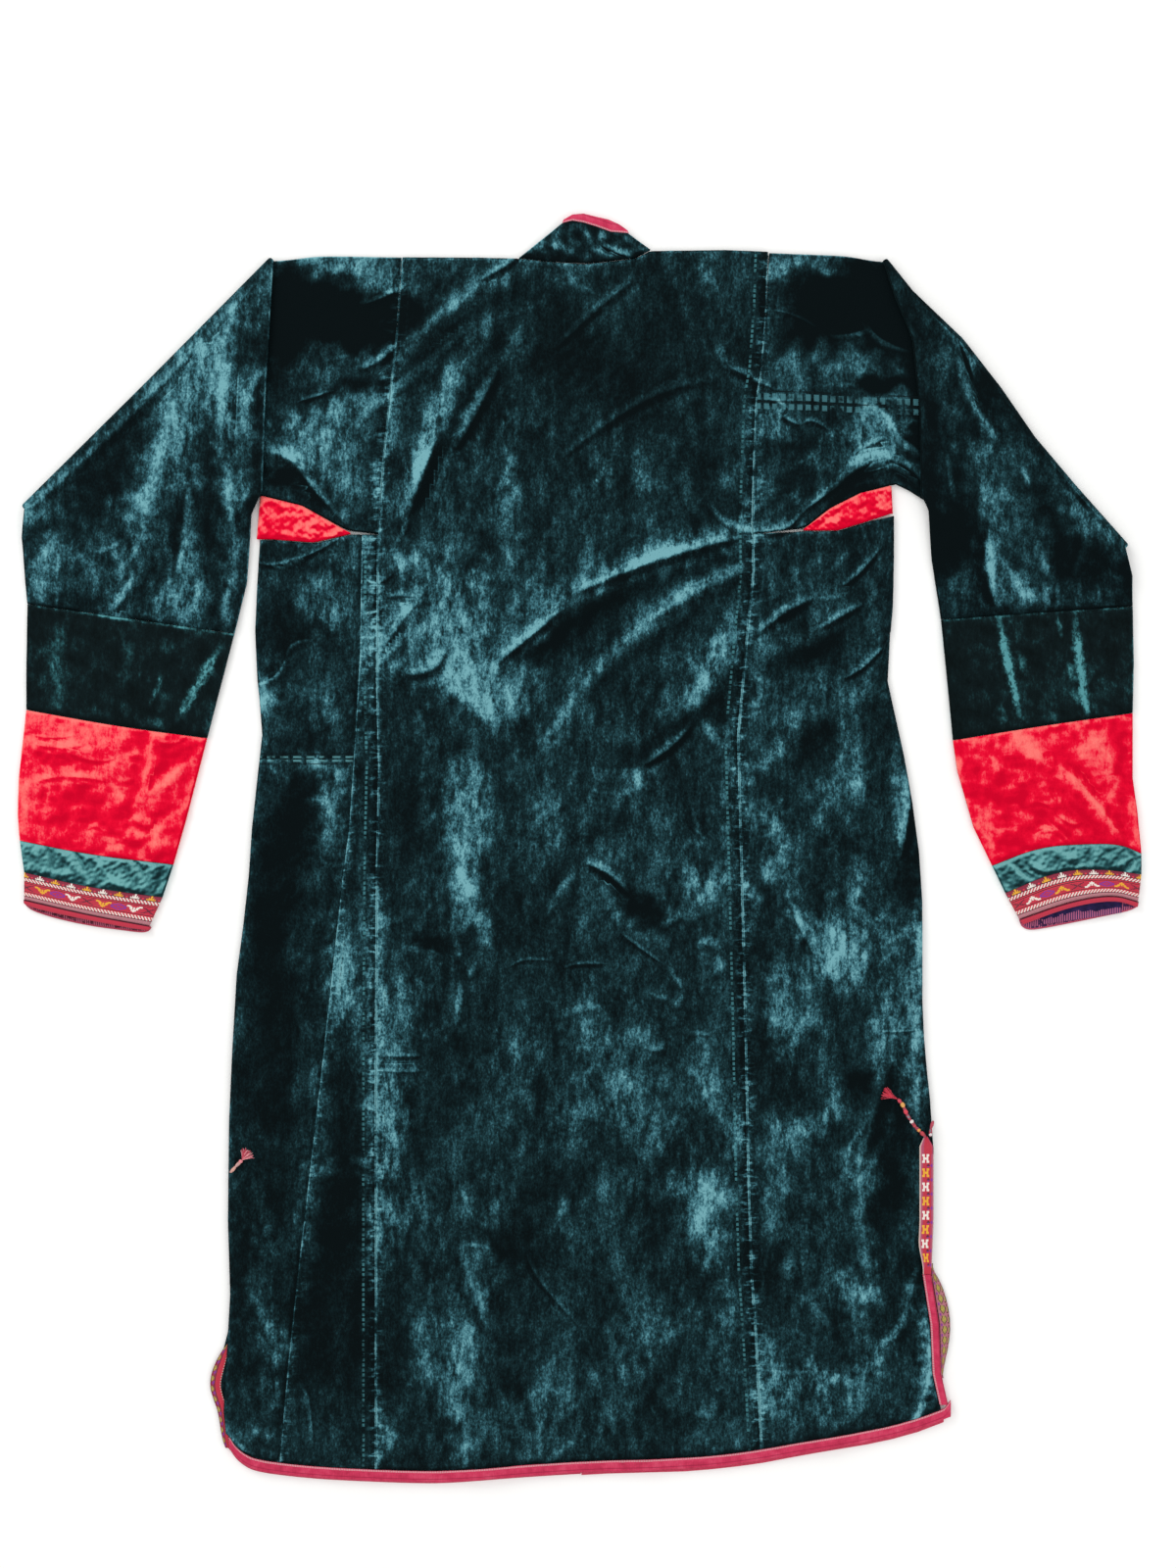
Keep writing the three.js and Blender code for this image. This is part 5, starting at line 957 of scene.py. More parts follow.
# sleeves, each a flat tube folded over itself along a slanting line
sleeves = {
    "left": {
        "out": -1,
        "armhole": [(-164.5, 541), (-169, 472), (-181, 358), (-186.2, 287.2)],
        "top": [(-164.5, 541), (-225, 542), (-285, 541)],
        "under": [(-186.2, 287.2), (-213, 290), (-238, 303), (-256, 313), (-296, 323), (-400, 320),
                  (-513, 313)],
        "fold": [(-285, 541), (-400, 425), (-513, 313)],
        "inner": [(-285, 541), (-291, 418), (-293, 328), (-303, 306), (-307, 243), (-318, 196)],
        "outer": [(-513, 313), (-515, 286), (-511, 246), (-508, 223)],
        "rootEdge": [(-520, 312), (-400, 320), (-296, 323), (-256, 313)],
        "dark": {"end": [(-343, 100), (-420, 110), (-509, 126)], "inner": [(-318, 196), (-343, 100)],
                 "outer": [(-508, 223), (-509, 160), (-509, 126)], "puff": 2.2},
        "red": {"end": [(-374, -16), (-450, -7), (-515, 6)],
                "inner": [(-343, 100), (-362, 26), (-374, -16)],
                "outer": [(-509, 126), (-516, 63), (-517, 30), (-515, 6)], "puff": 2.2},
        "teal": {"end": [(-384, -46), (-450, -37), (-511, -23)], "inner": [(-374, -16), (-384, -46)],
                 "outer": [(-515, 6), (-511, -23)], "puff": 2.4},
        "trim": {"end": [(-396, -72), (-450, -62), (-511, -48)], "inner": [(-384, -46), (-396, -72)],
                 "outer": [(-511, -23), (-511, -48)], "puff": 2.2},
        "lip": {"end": [(-395, -75), (-400, -76.5), (-450, -67), (-500, -56.5), (-510.5, -52)],
                "low": [(-394.5, -74), (-397, -77.5), (-404, -78.5), (-420, -76.4), (-450, -72.5),
                        (-480, -66), (-498, -60.5), (-506, -57), (-510, -53)], "puff": 2.0},
    },
    "right": {
        "out": 1,
        "armhole": [(172.3, 545), (170, 495), (166, 440), (161, 410), (159, 359), (157.2, 297),
                    (157.4, 287.4)],
        "top": [(172.3, 545), (225, 543), (280, 540)],
        "under": [(157.4, 287.4), (205, 292.4), (228, 311), (256, 325), (288, 333), (301, 327),
                  (318, 316), (420, 296), (502, 277)],
        "fold": [(280, 540), (304, 510), (350, 466), (385, 421), (416, 376), (454, 331), (502, 277)],
        "inner": [(280, 540), (290, 508), (306, 468), (312, 400), (312, 325), (319, 310), (322, 265),
                  (330, 209)],
        "outer": [(502, 277), (507, 250), (506, 221)],
        "rootEdge": [(256, 325), (288, 333), (318, 316), (420, 296), (510, 276)],
        "dark": {"end": [(341, 98), (420, 111), (506, 123)], "inner": [(330, 209), (336, 150), (341, 98)],
                 "outer": [(506, 221), (507, 170), (506, 123)], "puff": 2.2},
        "red": {"end": [(377, -17), (419, 0), (460, 3), (494, 3), (514, -6)],
                "inner": [(341, 98), (345, 70), (360, 18), (377, -17)],
                "outer": [(506, 123), (506, 63), (510, 35), (514, -6)], "puff": 2.6},
        "teal": {"end": [(389, -42), (437, -21), (480, -20), (514, -25)],
                 "inner": [(377, -17), (389, -42)],
                 "outer": [(514, -6), (514, -25)], "puff": 3.2},
        "trim": {"end": [(402, -66), (448, -49), (487, -43), (511, -50)],
                 "inner": [(389, -42), (402, -66)],
                 "outer": [(514, -25), (511, -50)], "puff": 4.6},
        "lip": {"end": [(405, -71), (448, -54), (489, -48), (510, -55)],
                "low": [(403, -69.5), (404.5, -73), (410, -76), (420, -75.4), (450, -69.6), (480, -63.4),
                        (503, -58.6), (509.5, -55.4)], "puff": 4.8},
    },
}
bandNames = {"dark": "dark_band", "red": "red_band", "teal": "teal_band", "trim": "cuff_trim"}


def pathOf(rows, soft=0):
    # x and y at a share of the length of a line through points
    p = soften(rows, soft)
    sums = np.concatenate([[0], np.cumsum(np.hypot(*np.diff(p, axis=0).T))])
    sums /= sums[-1]
    return lambda t: np.stack([np.interp(t, sums, p[:, 0]), np.interp(t, sums, p[:, 1])], axis=-1)


def patchOf(first, last, a, b):
    # place inside four edges, each edge weighted by nearness and the corners taken off once
    def at(s, t):
        s, t = np.broadcast_arrays(np.asarray(s, float), np.asarray(t, float))
        down, over = s[..., None], t[..., None]
        zero, one = np.zeros_like(t), np.ones_like(t)
        return ((1 - down) * first(t) + down * last(t) + (1 - over) * a(s) + over * b(s)
                - (1 - down) * (1 - over) * first(zero) - (1 - down) * over * first(one)
                - down * (1 - over) * last(zero) - down * over * last(one))
    return at


def tubeColumns(wide, cells, radius=2.2):
    # columns round a flat tube: share across, side (-1 under, +1 over) and how much of the half height
    turns = np.radians([0, 25, 50, 72])
    edge = radius * (1 - np.cos(turns)) / wide
    rise = np.sin(turns)
    middle = np.linspace(radius / wide, 1 - radius / wide, cells + 1)
    share = np.concatenate([edge, middle, 1 - edge[::-1]])
    height = np.concatenate([rise, np.ones(cells + 1), rise[::-1]])
    backShare, backHeight = share[::-1][1:-1], height[::-1][1:-1]
    side = np.concatenate([-np.ones(len(share)), np.ones(len(backShare))])
    return np.concatenate([share, backShare]), side, np.concatenate([height, backHeight])


def tubeHeight(low, high, side, rise):
    # middle + side * rise * half the thickness
    return (low + high) / 2 + side * rise * (high - low) / 2


# creases of the turned-over sleeves: the same columns as those of the back
sleeveCreases = {
    "left": [
        (-505, 309, -400, 409, -296, 518, 5, 0.5, -1), (-288, 438, -303, 416, -308, 380, 6, 0.8, -1),
        (-322, 480, -334, 450, -338, 410, 5, 0.5, 0), (-346, 470, -352, 440, -356, 396, 7, 0.55, 0),
        (-322, 440, -327, 410, -330, 370, 6, 0.55, 1), (-362, 420, -376, 390, -392, 344, 6, 0.6, 0),
        (-386, 360, -396, 330, -404, 292, 6, 0.55, 0), (-340, 372, -330, 358, -324, 336, 2.5, 0.5, 0),
        (-360, 330, -362, 290, -372, 250, 6, 0.75, -1), (-320, 340, -322, 310, -314, 262, 6, 0.5, 1),
        (-372, 246, -384, 232, -392, 206, 3, 0.55, 0), (-346, 246, -354, 228, -366, 202, 4, 0.7, 0),
        (-338, 246, -350, 246, -356, 232, 2, 0.5, 0), (-318, 248, -324, 232, -328, 206, 3.4, 0.75, 0),
        (-412, 246, -420, 230, -434, 212, 4.5, 0.7, -1), (-446, 213, -430, 212, -414, 208, 3, 0.7, 0),
        (-446, 270, -432, 274, -420, 282, 2.4, 0.5, 0), (-480, 284, -490, 270, -504, 256, 5, 0.5, 0),
        (-400, 288, -410, 268, -430, 248, 3, 0.45, 0), (-464, 212, -456, 216, -446, 212, 2, 0.4, 0),
        (-500, 240, -496, 228, -500, 216, 4, 0.4, 0), (-366, 236, -372, 224, -376, 206, 2.4, 0.55, 0),
        (-484, 262, -478, 240, -482, 222, 2, 0.3, 0), (-452, 300, -456, 290, -460, 276, 2.6, 0.3, 0),
        (-330, 186, -350, 150, -372, 112, 5, 0.9, 0), (-384, 160, -388, 146, -397, 126, 2.2, 0.5, 0),
        (-374, 190, -378, 176, -382, 166, 2, 0.25, 0), (-424, 200, -416, 170, -424, 140, 6, 0.2, 0),
        (-470, 206, -482, 170, -474, 134, 6, 0.3, 0),
    ],
    "right": [
        (302, 508, 326, 486, 345, 455, 3, 0.8, 0), (330, 486, 350, 458, 360, 425, 3, 0.8, -1),
        (345, 474, 360, 456, 374, 441, 4, 0.7, 0), (345, 450, 350, 425, 356, 405, 4, 0.75, 0),
        (355, 405, 368, 390, 381, 368, 6, 0.85, 1), (334, 360, 337, 340, 342, 314, 2, 0.65, 0),
        (326, 392, 330, 376, 334, 360, 2, 0.35, 0), (402, 344, 406, 338, 409, 328, 3.4, 0.7, 0),
        (372, 288, 374, 255, 381, 220, 6, 0.9, -1), (416, 280, 422, 262, 428, 246, 5, 0.6, 0),
        (392, 254, 400, 238, 405, 222, 5, 0.75, 0), (409, 238, 412, 228, 413, 220, 3, 0.8, 0),
        (386, 242, 388, 230, 390, 220, 2.6, 0.7, 0), (423, 246, 426, 232, 428, 220, 3, 0.8, 0),
        (436, 246, 437, 234, 438, 221, 2, 0.7, 0), (456, 246, 457, 234, 458, 222, 2, 0.6, 0),
        (472, 244, 474, 234, 476, 223, 2, 0.5, 0), (460, 276, 456, 262, 451, 248, 3, 0.45, 0),
        (483, 292, 483, 282, 480, 268, 2.2, 0.55, 0), (418, 378, 452, 336, 488, 292, 5, 0.6, -1),
        (360, 446, 400, 402, 420, 378, 2.6, 0.4, -1), (346, 226, 342, 216, 346, 208, 2.4, 0.4, 0),
        (364, 334, 368, 318, 370, 300, 3, 0.45, 0), (392, 366, 396, 350, 392, 336, 4, 0.3, 0),
        (382, 210, 390, 170, 402, 116, 4, 0.95, 0), (452, 212, 456, 170, 464, 118, 4.4, 0.9, 0),
        (437, 212, 438, 202, 440, 190, 2, 0.7, 0), (384, 132, 387, 122, 388, 112, 2, 0.4, 0),
        (400, 180, 404, 170, 404, 160, 3, 0.4, 0), (444, 168, 450, 158, 456, 150, 4, 0.4, 0),
    ],
}
# places of painted sheen and painted shade, with the same columns as the back's patches
sleeveSheen = {
    "left": [
        (-308, 492, 38, 13, 58, 0.75), (-326, 468, 34, 14, 58, 0.6), (-354, 440, 30, 14, 80, 0.5),
        (-326, 426, 36, 9, 85, 0.5), (-303, 420, 30, 7, 66, 0.6), (-349, 406, 40, 12, 75, 0.5),
        (-375, 394, 28, 11, 70, 0.55), (-326, 398, 36, 8, 78, 0.5), (-390, 346, 38, 9, 70, 0.55),
        (-364, 376, 26, 9, 76, 0.4), (-323, 322, 30, 11, 80, 0.55), (-331, 305, 20, 13, 80, 0.4),
        (-404, 299, 26, 14, 60, 0.5), (-430, 288, 14, 8, 10, 0.55), (-433, 273, 24, 5, 15, 0.4),
        (-463, 270, 14, 6, 20, 0.4), (-490, 266, 26, 9, 70, 0.45), (-496, 234, 20, 10, 80, 0.4),
        (-409, 266, 26, 9, 40, 0.4), (-424, 228, 24, 8, 60, 0.55), (-386, 216, 18, 6, 70, 0.5),
        (-354, 228, 30, 7, 62, 0.5), (-362, 204, 20, 5, 0, 0.4), (-317, 274, 28, 6, 86, 0.45),
        (-500, 316, 24, 10, 45, 0.5), (-460, 355, 30, 6, 45, 0.4), (-512, 300, 10, 4, 80, 0.5),
        (-480, 224, 26, 7, 5, 0.3), (-404, 420, 20, 5, 45, 0.3), (-366, 262, 30, 6, 80, 0.4),
    ],
    "right": [
        (333, 448, 25, 8, 80, 0.9), (326, 428, 12, 4, 60, 0.6), (348, 403, 10, 6, 0, 0.55),
        (372, 342, 40, 13, 82, 0.42), (384, 300, 36, 18, 84, 0.45), (374, 256, 32, 7, 86, 0.6),
        (400, 240, 22, 9, -75, 0.6), (422, 262, 22, 8, -65, 0.45), (460, 313, 24, 11, -50, 0.5),
        (474, 300, 14, 6, -50, 0.6), (342, 238, 18, 9, 5, 0.3), (345, 215, 12, 6, 0, 0.35),
        (430, 226, 50, 7, 4, 0.35), (442, 342, 22, 6, -50, 0.5), (400, 376, 20, 8, -50, 0.12),
        (486, 262, 16, 10, 80, 0.25), (356, 464, 30, 6, -52, 0.5), (394, 416, 40, 3, -50, 0.4),
        (496, 274, 12, 6, 80, 0.3), (402, 350, 16, 10, 80, 0.25),
    ],
}
sleeveShade = {
    "left": [(-310, 446, 20, 9, 70, 0.45), (-340, 337, 42, 8, 85, 0.5), (-420, 356, 46, 20, 50, 0.4),
             (-337, 272, 46, 9, 86, 0.5), (-452, 322, 34, 20, 50, 0.35), (-458, 226, 30, 6, 0, 0.3),
             (-380, 286, 20, 6, 80, 0.3), (-294, 380, 80, 5, 88, 0.5), (-300, 300, 40, 6, 84, 0.45),
             (-310, 224, 30, 4, 76, 0.4), (-400, 236, 16, 6, 70, 0.3), (-500, 290, 14, 7, 0, 0.35)],
    "right": [(320, 360, 90, 8, 88, 0.5), (332, 280, 40, 12, 86, 0.5), (432, 298, 56, 15, -56, 0.45),
              (366, 424, 26, 6, -56, 0.4), (398, 392, 40, 9, -52, 0.4), (350, 362, 40, 6, 80, 0.35),
              (352, 300, 30, 10, 84, 0.4), (470, 250, 26, 10, 80, 0.25), (500, 246, 26, 7, 86, 0.35),
              (440, 246, 16, 5, 80, 0.2)],
}
# painted sheen on the dark bands, the same columns
bandSheen = {
    "left": [(-478, 151, 28, 8, 86, 0.3), (-418, 161, 22, 6, 66, 0.24), (-484, 197, 20, 5, 62, 0.4),
             (-418, 122, 34, 8, -12, 0.26), (-350, 112, 18, 5, 60, 0.3), (-500, 180, 26, 5, 80, 0.25)],
    "right": [(397, 143, 28, 5, -72, 0.3), (460, 139, 32, 5, -84, 0.3), (396, 176, 14, 8, -60, 0.35),
              (450, 155, 20, 10, -70, 0.3), (386, 122, 11, 2.5, 86, 0.4), (421, 114, 7, 3, 80, 0.4),
              (400, 206, 24, 4, 5, 0.25), (430, 130, 18, 6, 80, 0.22)],
}
# painted sheen on the red bands, the same columns
redSheen = {
    "left": [(-457, 99, 36, 12, -14, 0.5), (-430, 92, 26, 9, -30, 0.4), (-451, 62, 44, 8, 5, 0.5),
             (-378, 56, 36, 10, 43, 0.7), (-401, 25, 8, 7, 20, 0.6), (-389, 8, 18, 8, -62, 0.65),
             (-507, 52, 34, 7, 84, 0.5), (-492, 14, 20, 7, 20, 0.4), (-443, 11, 12, 5, -30, 0.4),
             (-410, 83, 20, 6, 60, 0.3), (-420, 52, 24, 6, 18, 0.4), (-358, 100, 14, 6, -20, 0.4),
             (-380, 108, 30, 4, -12, 0.4), (-412, 2, 40, 4, -8, 0.35), (-486, 104, 24, 5, -10, 0.35)],
    "right": [(404, 93, 22, 8, -75, 0.7), (419, 79, 18, 7, -55, 0.6), (386, 72, 24, 12, -80, 0.3),
              (464, 42, 52, 5, -48, 0.7), (471, 89, 24, 8, -52, 0.5), (481, 72, 24, 9, -82, 0.55),
              (433, 56, 20, 8, -12, 0.5), (407, 34, 8, 4, 0, 0.5), (446, 25, 18, 6, -10, 0.5),
              (421, 19, 11, 5, -35, 0.5), (448, 10, 8, 5, 0, 0.5), (371, 5, 26, 7, -65, 0.6),
              (510, 12, 26, 5, 86, 0.6), (349, 77, 26, 6, 86, 0.35), (367, 52, 22, 7, -52, 0.4),
              (506, 93, 22, 6, 80, 0.3), (486, 14, 14, 6, -60, 0.55), (436, 98, 30, 5, 4, 0.25)],
}
# painted shade on the red bands, the same columns
redShade = {
    "left": [(-492, 77, 26, 9, 0, 0.3), (-405, 74, 30, 5, 72, 0.4), (-436, 32, 40, 16, -10, 0.35),
             (-393, 56, 16, 5, 43, 0.4), (-368, 88, 30, 7, 25, 0.35), (-470, 34, 20, 10, 40, 0.2)],
    "right": [(392, 46, 40, 16, -20, 0.4), (496, 76, 34, 7, -85, 0.4), (464, 17, 22, 8, -45, 0.35),
              (388, 2, 20, 9, 10, 0.3), (440, 70, 20, 6, -40, 0.25), (446, 92, 14, 8, 80, 0.25)],
}
# soft ridges: (x0, y0) through (xm, ym) to (x1, y1), half width, height
redCreases = {
    "left": [(-398, 112, -404, 76, -412, 30, 6, -2.2), (-384, 104, -392, 72, -404, 44, 6, 1.8),
             (-360, 84, -378, 56, -402, 34, 7, 2.0), (-500, 96, -460, 88, -420, 96, 7, 1.6),
             (-506, 60, -460, 62, -416, 72, 7, 1.6), (-500, 24, -470, 34, -446, 20, 6, 1.5),
             (-450, 104, -430, 84, -424, 60, 6, 1.4), (-480, 50, -450, 40, -430, 50, 5, -1.4),
             (-430, 20, -412, 8, -396, 14, 5, 1.6), (-400, 6, -388, -2, -380, 10, 5, 1.6),
             (-460, 6, -444, 14, -430, 4, 5, 1.3), (-370, 30, -384, 14, -392, -4, 5, 1.4)],
    "right": [(432, 70, 462, 44, 498, 2, 6, 3.0), (424, 62, 450, 34, 474, 4, 6, -2.2),
              (396, 110, 404, 86, 424, 72, 6, 2.0), (460, 104, 472, 86, 486, 60, 6, 1.8),
              (420, 32, 440, 20, 450, 2, 5, 1.8), (352, 92, 372, 60, 392, 50, 7, 1.6),
              (372, 30, 384, 8, 392, -10, 6, 1.6), (500, 90, 494, 56, 508, 20, 7, -1.6),
              (400, 44, 420, 36, 440, 42, 5, 1.2), (484, 40, 496, 24, 506, 2, 5, 1.4)],
}
# crisp creases of the red bands: the same columns as those of the back
redLines = {
    "left": [(-347, 88, -378, 62, -405, 41, 6, 0.9, 1), (-387, 110, -396, 80, -400, 48, 2.6, 0.6, 0),
             (-505, 104, -485, 101, -465, 103, 1.6, 0.6, -1),
             (-500, 95, -478, 92, -455, 94, 1.8, 0.6, -1), (-470, 88, -445, 80, -425, 83, 2, 0.6, -1),
             (-500, 60, -470, 66, -430, 60, 2.4, 0.6, -1), (-440, 66, -425, 52, -420, 40, 2, 0.5, 0),
             (-380, 24, -388, 10, -386, -6, 3.4, 0.7, 0), (-410, 28, -400, 22, -392, 26, 4, 0.6, -1),
             (-452, 16, -444, 20, -436, 14, 2, 0.6, -1), (-512, 76, -508, 50, -510, 20, 4, 0.5, 0),
             (-490, 24, -484, 30, -474, 28, 1.6, 0.5, 0), (-360, 104, -375, 96, -392, 100, 2, 0.5, -1),
             (-414, 12, -424, 6, -440, 8, 1.8, 0.5, 0), (-368, 60, -372, 50, -370, 38, 1.6, 0.5, 0)],
    "right": [(438, 74, 462, 49, 496, 6, 5, 0.95, 1), (425, 26, 440, 12, 452, 1, 2, 0.6, 1),
              (396, 108, 406, 92, 428, 74, 5, 0.7, 0), (459, 102, 463, 82, 476, 54, 4, 0.6, 0),
              (500, 60, 506, 30, 512, 2, 4, 0.7, 0), (366, 16, 374, 4, 383, -9, 3, 0.7, 0),
              (372, 84, 380, 76, 382, 62, 2, 0.5, 0), (344, 90, 348, 70, 356, 50, 3, 0.5, 0),
              (412, 40, 420, 42, 432, 36, 1.8, 0.5, -1), (436, 30, 450, 22, 458, 24, 2, 0.6, -1),
              (474, 92, 484, 80, 486, 60, 2.6, 0.6, 0), (416, 12, 430, 16, 442, 8, 1.8, 0.6, 1)],
}
tealCreases = {
    "left": [(-508, -4, -498, -10, -496, -26, 3.5, 1.8), (-490, 0, -484, -14, -486, -28, 3, -2.0),
             (-478, -2, -470, -12, -456, -26, 3.5, 2.2), (-466, 0, -458, -14, -452, -30, 3, -2.4),
             (-452, -8, -440, -16, -428, -32, 3.5, 2.2), (-444, -6, -436, -20, -426, -28, 2.6, -2.0),
             (-424, -8, -414, -16, -410, -32, 3.2, 2.2), (-414, -8, -404, -20, -400, -34, 2.6, -2.0),
             (-400, -12, -392, -22, -392, -38, 3, 1.8), (-500, -20, -480, -24, -462, -24, 3, 1.4),
             (-440, -30, -420, -36, -402, -38, 3, 1.4), (-384, -22, -386, -34, -390, -42, 3, -1.6),
             (-458, -4, -430, -8, -404, -14, 3, 1.0)],
    "right": [(386, -16, 398, -22, 404, -32, 4, 2.0), (396, -14, 406, -24, 414, -28, 3, -2.8),
              (408, -10, 416, -20, 432, -22, 3.5, 2.4), (412, -8, 410, -18, 424, -26, 2.6, -2.4),
              (430, -2, 446, -10, 462, -8, 4, 1.8), (452, -6, 456, -12, 452, -20, 3, -1.6),
              (464, 0, 470, -10, 468, -20, 3, 1.5), (474, -4, 482, -10, 492, -6, 3.5, 1.6),
              (484, -14, 494, -16, 502, -10, 3, 1.4), (498, -2, 506, -10, 502, -22, 3, -2.0),
              (386, -24, 390, -32, 394, -40, 3, -1.6), (440, -14, 450, -20, 464, -18, 3, 1.2)],
}
# even brightness of the turned-over sleeves and of the red bands
sleeveNap = {"left": 0.36, "right": 0.25}
redNap = {"left": 0.275, "right": 0.22}
# the upper sleeves' width round which columns are spaced, their cells and rows, swell and strength of the
# painted sheen and shade patches
flap = {"wide": 310, "cells": 66, "rootRows": 52, "flapRows": 92, "puff": 1.8, "patch": 0.53}


# the upper row of sewing across the right root: a place on it, and its fall for each millimetre of x
sewing = {"x": 165, "y": 421.5, "tilt": 0.04}


def sleeveClear(side, x, y):
    # 1 where the root lies open, easing to 0 before the part that the turned-over sleeve covers
    inner = np.interp(-y, [-541, -468, -300], [283, 305, 310])
    return easeIn(((inner - x if side["out"] > 0 else x + (inner - 12)) - 24) / 20)


def foldedSleeve(key):
    # a flat tube in three parts: the root, the bend round the fold and the part turned over
    side = sleeves[key]
    mid = cloth["stack"] / 2
    foldEdge = pathOf(side["fold"])
    a, b = np.array(side["fold"][0], float), np.array(side["fold"][-1], float)
    normal = np.array([a[1] - b[1], b[0] - a[0]]) / np.hypot(*(b - a))
    if normal[0] * side["out"] < 0:
        normal = -normal

    def base(t):
        return foldEdge(t) - normal * mid

    def drawnIn(rows):
        line = pathOf(rows)
        return lambda s: line(s) - normal * (mid * easeIn((np.asarray(s) - 0.6) / 0.4))[..., None]

    def shifted(rows):
        line = pathOf(rows)
        return lambda s: line(s) - normal * (mid * (1 - np.asarray(s)))[..., None]

    share, way, rise = tubeColumns(flap["wide"], flap["cells"])
    root = patchOf(pathOf(side["armhole"]), base, drawnIn(side["top"]), drawnIn(side["under"]))
    s = np.concatenate([[0, 0.006, 0.014], np.linspace(0.03, 1, flap["rootRows"])])[:, None]
    place = root(s, share[None, :])
    x, y = place[..., 0] + side["out"] * 0.2 * (s == 0), place[..., 1]
    height, rootFold, rootLight = creaseField(x, y, creases)
    lift = ((foldHeight(x, y) + 0.8 * fineHeight(x, y) + height) * sleeveClear(side, x, y)
            * (1 - easeIn((s - 0.8) / 0.2)) + seamDip(s * 110, 1.0, 2.2))
    z = tubeHeight(0.0, backTop + np.maximum(lift, -0.8) * (way > 0), way, rise)
    rootPoints = np.stack([x, y, z], axis=-1)
    # round the fold every point turns about the middle of the stack
    flat = tubeHeight(0.0, backTop, way, rise)[None, :]
    turn = np.radians([14, 32, 50, 68, 90, 112, 130, 148, 166])[:, None]
    centre = root(np.ones(1)[:, None], share[None, :])
    reach = mid - flat
    bend = np.stack([centre[..., 0] + normal[0] * reach * np.sin(turn),
                     centre[..., 1] + normal[1] * reach * np.sin(turn), mid - reach * np.cos(turn)],
                    axis=-1)
    end = pathOf([side["inner"][-1], side["outer"][-1]])
    over = patchOf(base, end, shifted(side["inner"]), shifted(side["outer"]))
    s = np.concatenate([np.linspace(0, 1, flap["flapRows"])[:-1], [0.994, 1.0]])[:, None]
    place = over(s, share[None, :])
    x, y = place[..., 0], place[..., 1] + 0.15 * (s == 1)
    # past its own root the turned-over part comes down to the floor
    under = (cloth["stack"] - backTop) * (1 - easeIn((lineY(side["rootEdge"])(x) - y - 3) / 46))
    puff = flap["puff"] * easeIn(s * 1.6) * np.sin(math.pi * np.clip((np.abs(x) - 300) / 210, 0, 1)) ** 2
    height, flapFold, flapLight = creaseField(x, y, sleeveCreases[key])
    crease = ((height + 0.45 * softNoise(x, y, 40, 31, 1.4) + 0.28 * softNoise(x, y, 15, 32, 1.3))
              * easeIn(s * 9))
    top = under + backTop + puff + np.maximum(crease, -1.2) * (way < 0) + seamDip((1 - s) * 230, 1.2, 2.4)
    # turned over: what was underneath now lies on top
    flapPoints = np.stack([x, y, tubeHeight(under, top, -way, rise)], axis=-1)
    points = np.concatenate([rootPoints, bend, flapPoints])
    n, m, k = len(rootPoints), len(bend), len(flapPoints)
    grid = points.shape[:2]
    toneAndLight, fold, light = np.zeros(grid), np.full(grid, 6.0), np.zeros(grid)
    rx, ry = rootPoints[..., 0], rootPoints[..., 1]
    toneAndLight[:n] = backNap(rx, ry, rootPoints)
    patches = sheenAndShade(x, y, sleeveSheen[key], sleeveShade[key])
    toneAndLight[n + m:] = sleeveNap[key] + flap["patch"] * patches + back["slope"] * slopeLight(flapPoints, 60)
    blend = np.linspace(0, 1, m + 2)[1:-1, None]
    toneAndLight[n:n + m] = toneAndLight[n - 1] * (1 - blend) + toneAndLight[n + m] * blend
    fold[:n], light[:n], fold[n + m:], light[n + m:] = rootFold, rootLight, flapFold, flapLight
    fromRoot = np.concatenate([np.linspace(0, 110, n), np.full(m + k, 500.0)])[:, None] + 0 * toneAndLight
    # rows of sewing across the right root, counted down from the upper one
    sewn = np.full(grid, -90.0)
    sewn[:n] = sewing["y"] - sewing["tilt"] * (rx - sewing["x"]) - ry
    makeMesh(f"sleeve_{key}_upper", points, velvetRoot if key == "right" else velvetPlain,
             {"toneAndLight": toneAndLight, "fold": fold, "foldLight": light, "run": points[..., 1] + sewingZero,
              "across": points[..., 0] + sewingZero, "fromLeft": fromRoot, "fromRight": fromRoot,
              "sewn": sewn}, closed=True)


def sleeveBand(key, label, start, before, material, cells, step, extra, toneAndLightOf, lines, chart):
    # a short tube from the piece before: top = back + swell + crumple and creases + dips at its seams
    side = sleeves[key]
    band = side[label]
    end = pathOf(band["end"], 3)
    inside = patchOf(start, end, pathOf(band["inner"]), pathOf(band["outer"]))
    a, b = start(np.zeros(1))[0], end(np.zeros(1))[0]
    length = float(np.hypot(*(b - a)))
    s = shares(length, step, (0.15, 0.8, 1.8, 3.0))[:, None]
    share, way, rise = tubeColumns(float(np.hypot(*(start(np.ones(1))[0] - a))), cells)
    place = inside(s, share[None, :])
    x, y = place[..., 0], place[..., 1]
    left, right = inside(s, 0.0)[..., 0], inside(s, 1.0)[..., 0]
    across = np.clip((x - left) / (right - left), 0, 1)
    swell = (before + (band["puff"] - before) * s) * np.sin(math.pi * across) ** 1.3
    near = np.minimum(s, 1 - s) * length
    height, fold, light = creaseField(x, y, lines)
    top = (backTop + swell + np.maximum(extra(x, y) + height, -1.6) * easeIn(near / 3)
           + seamDip(s * length, 0.9) + seamDip((1 - s) * length, 0.9))
    points = np.stack([x, y, tubeHeight(0.0, np.where(way > 0, top, backTop), way, rise)], axis=-1)
    toneAndLight = toneAndLightOf(x, y, points)
    paint = chartColours(chart, points.shape[0] - 1, points.shape[1], 7) if chart else None
    makeMesh(f"sleeve_{key}_{bandNames[label]}", points, material,
             {"toneAndLight": toneAndLight, "fold": fold, "foldLight": light, "run": points[..., 0]}, closed=True,
             colours=paint)
    return end, band["puff"]
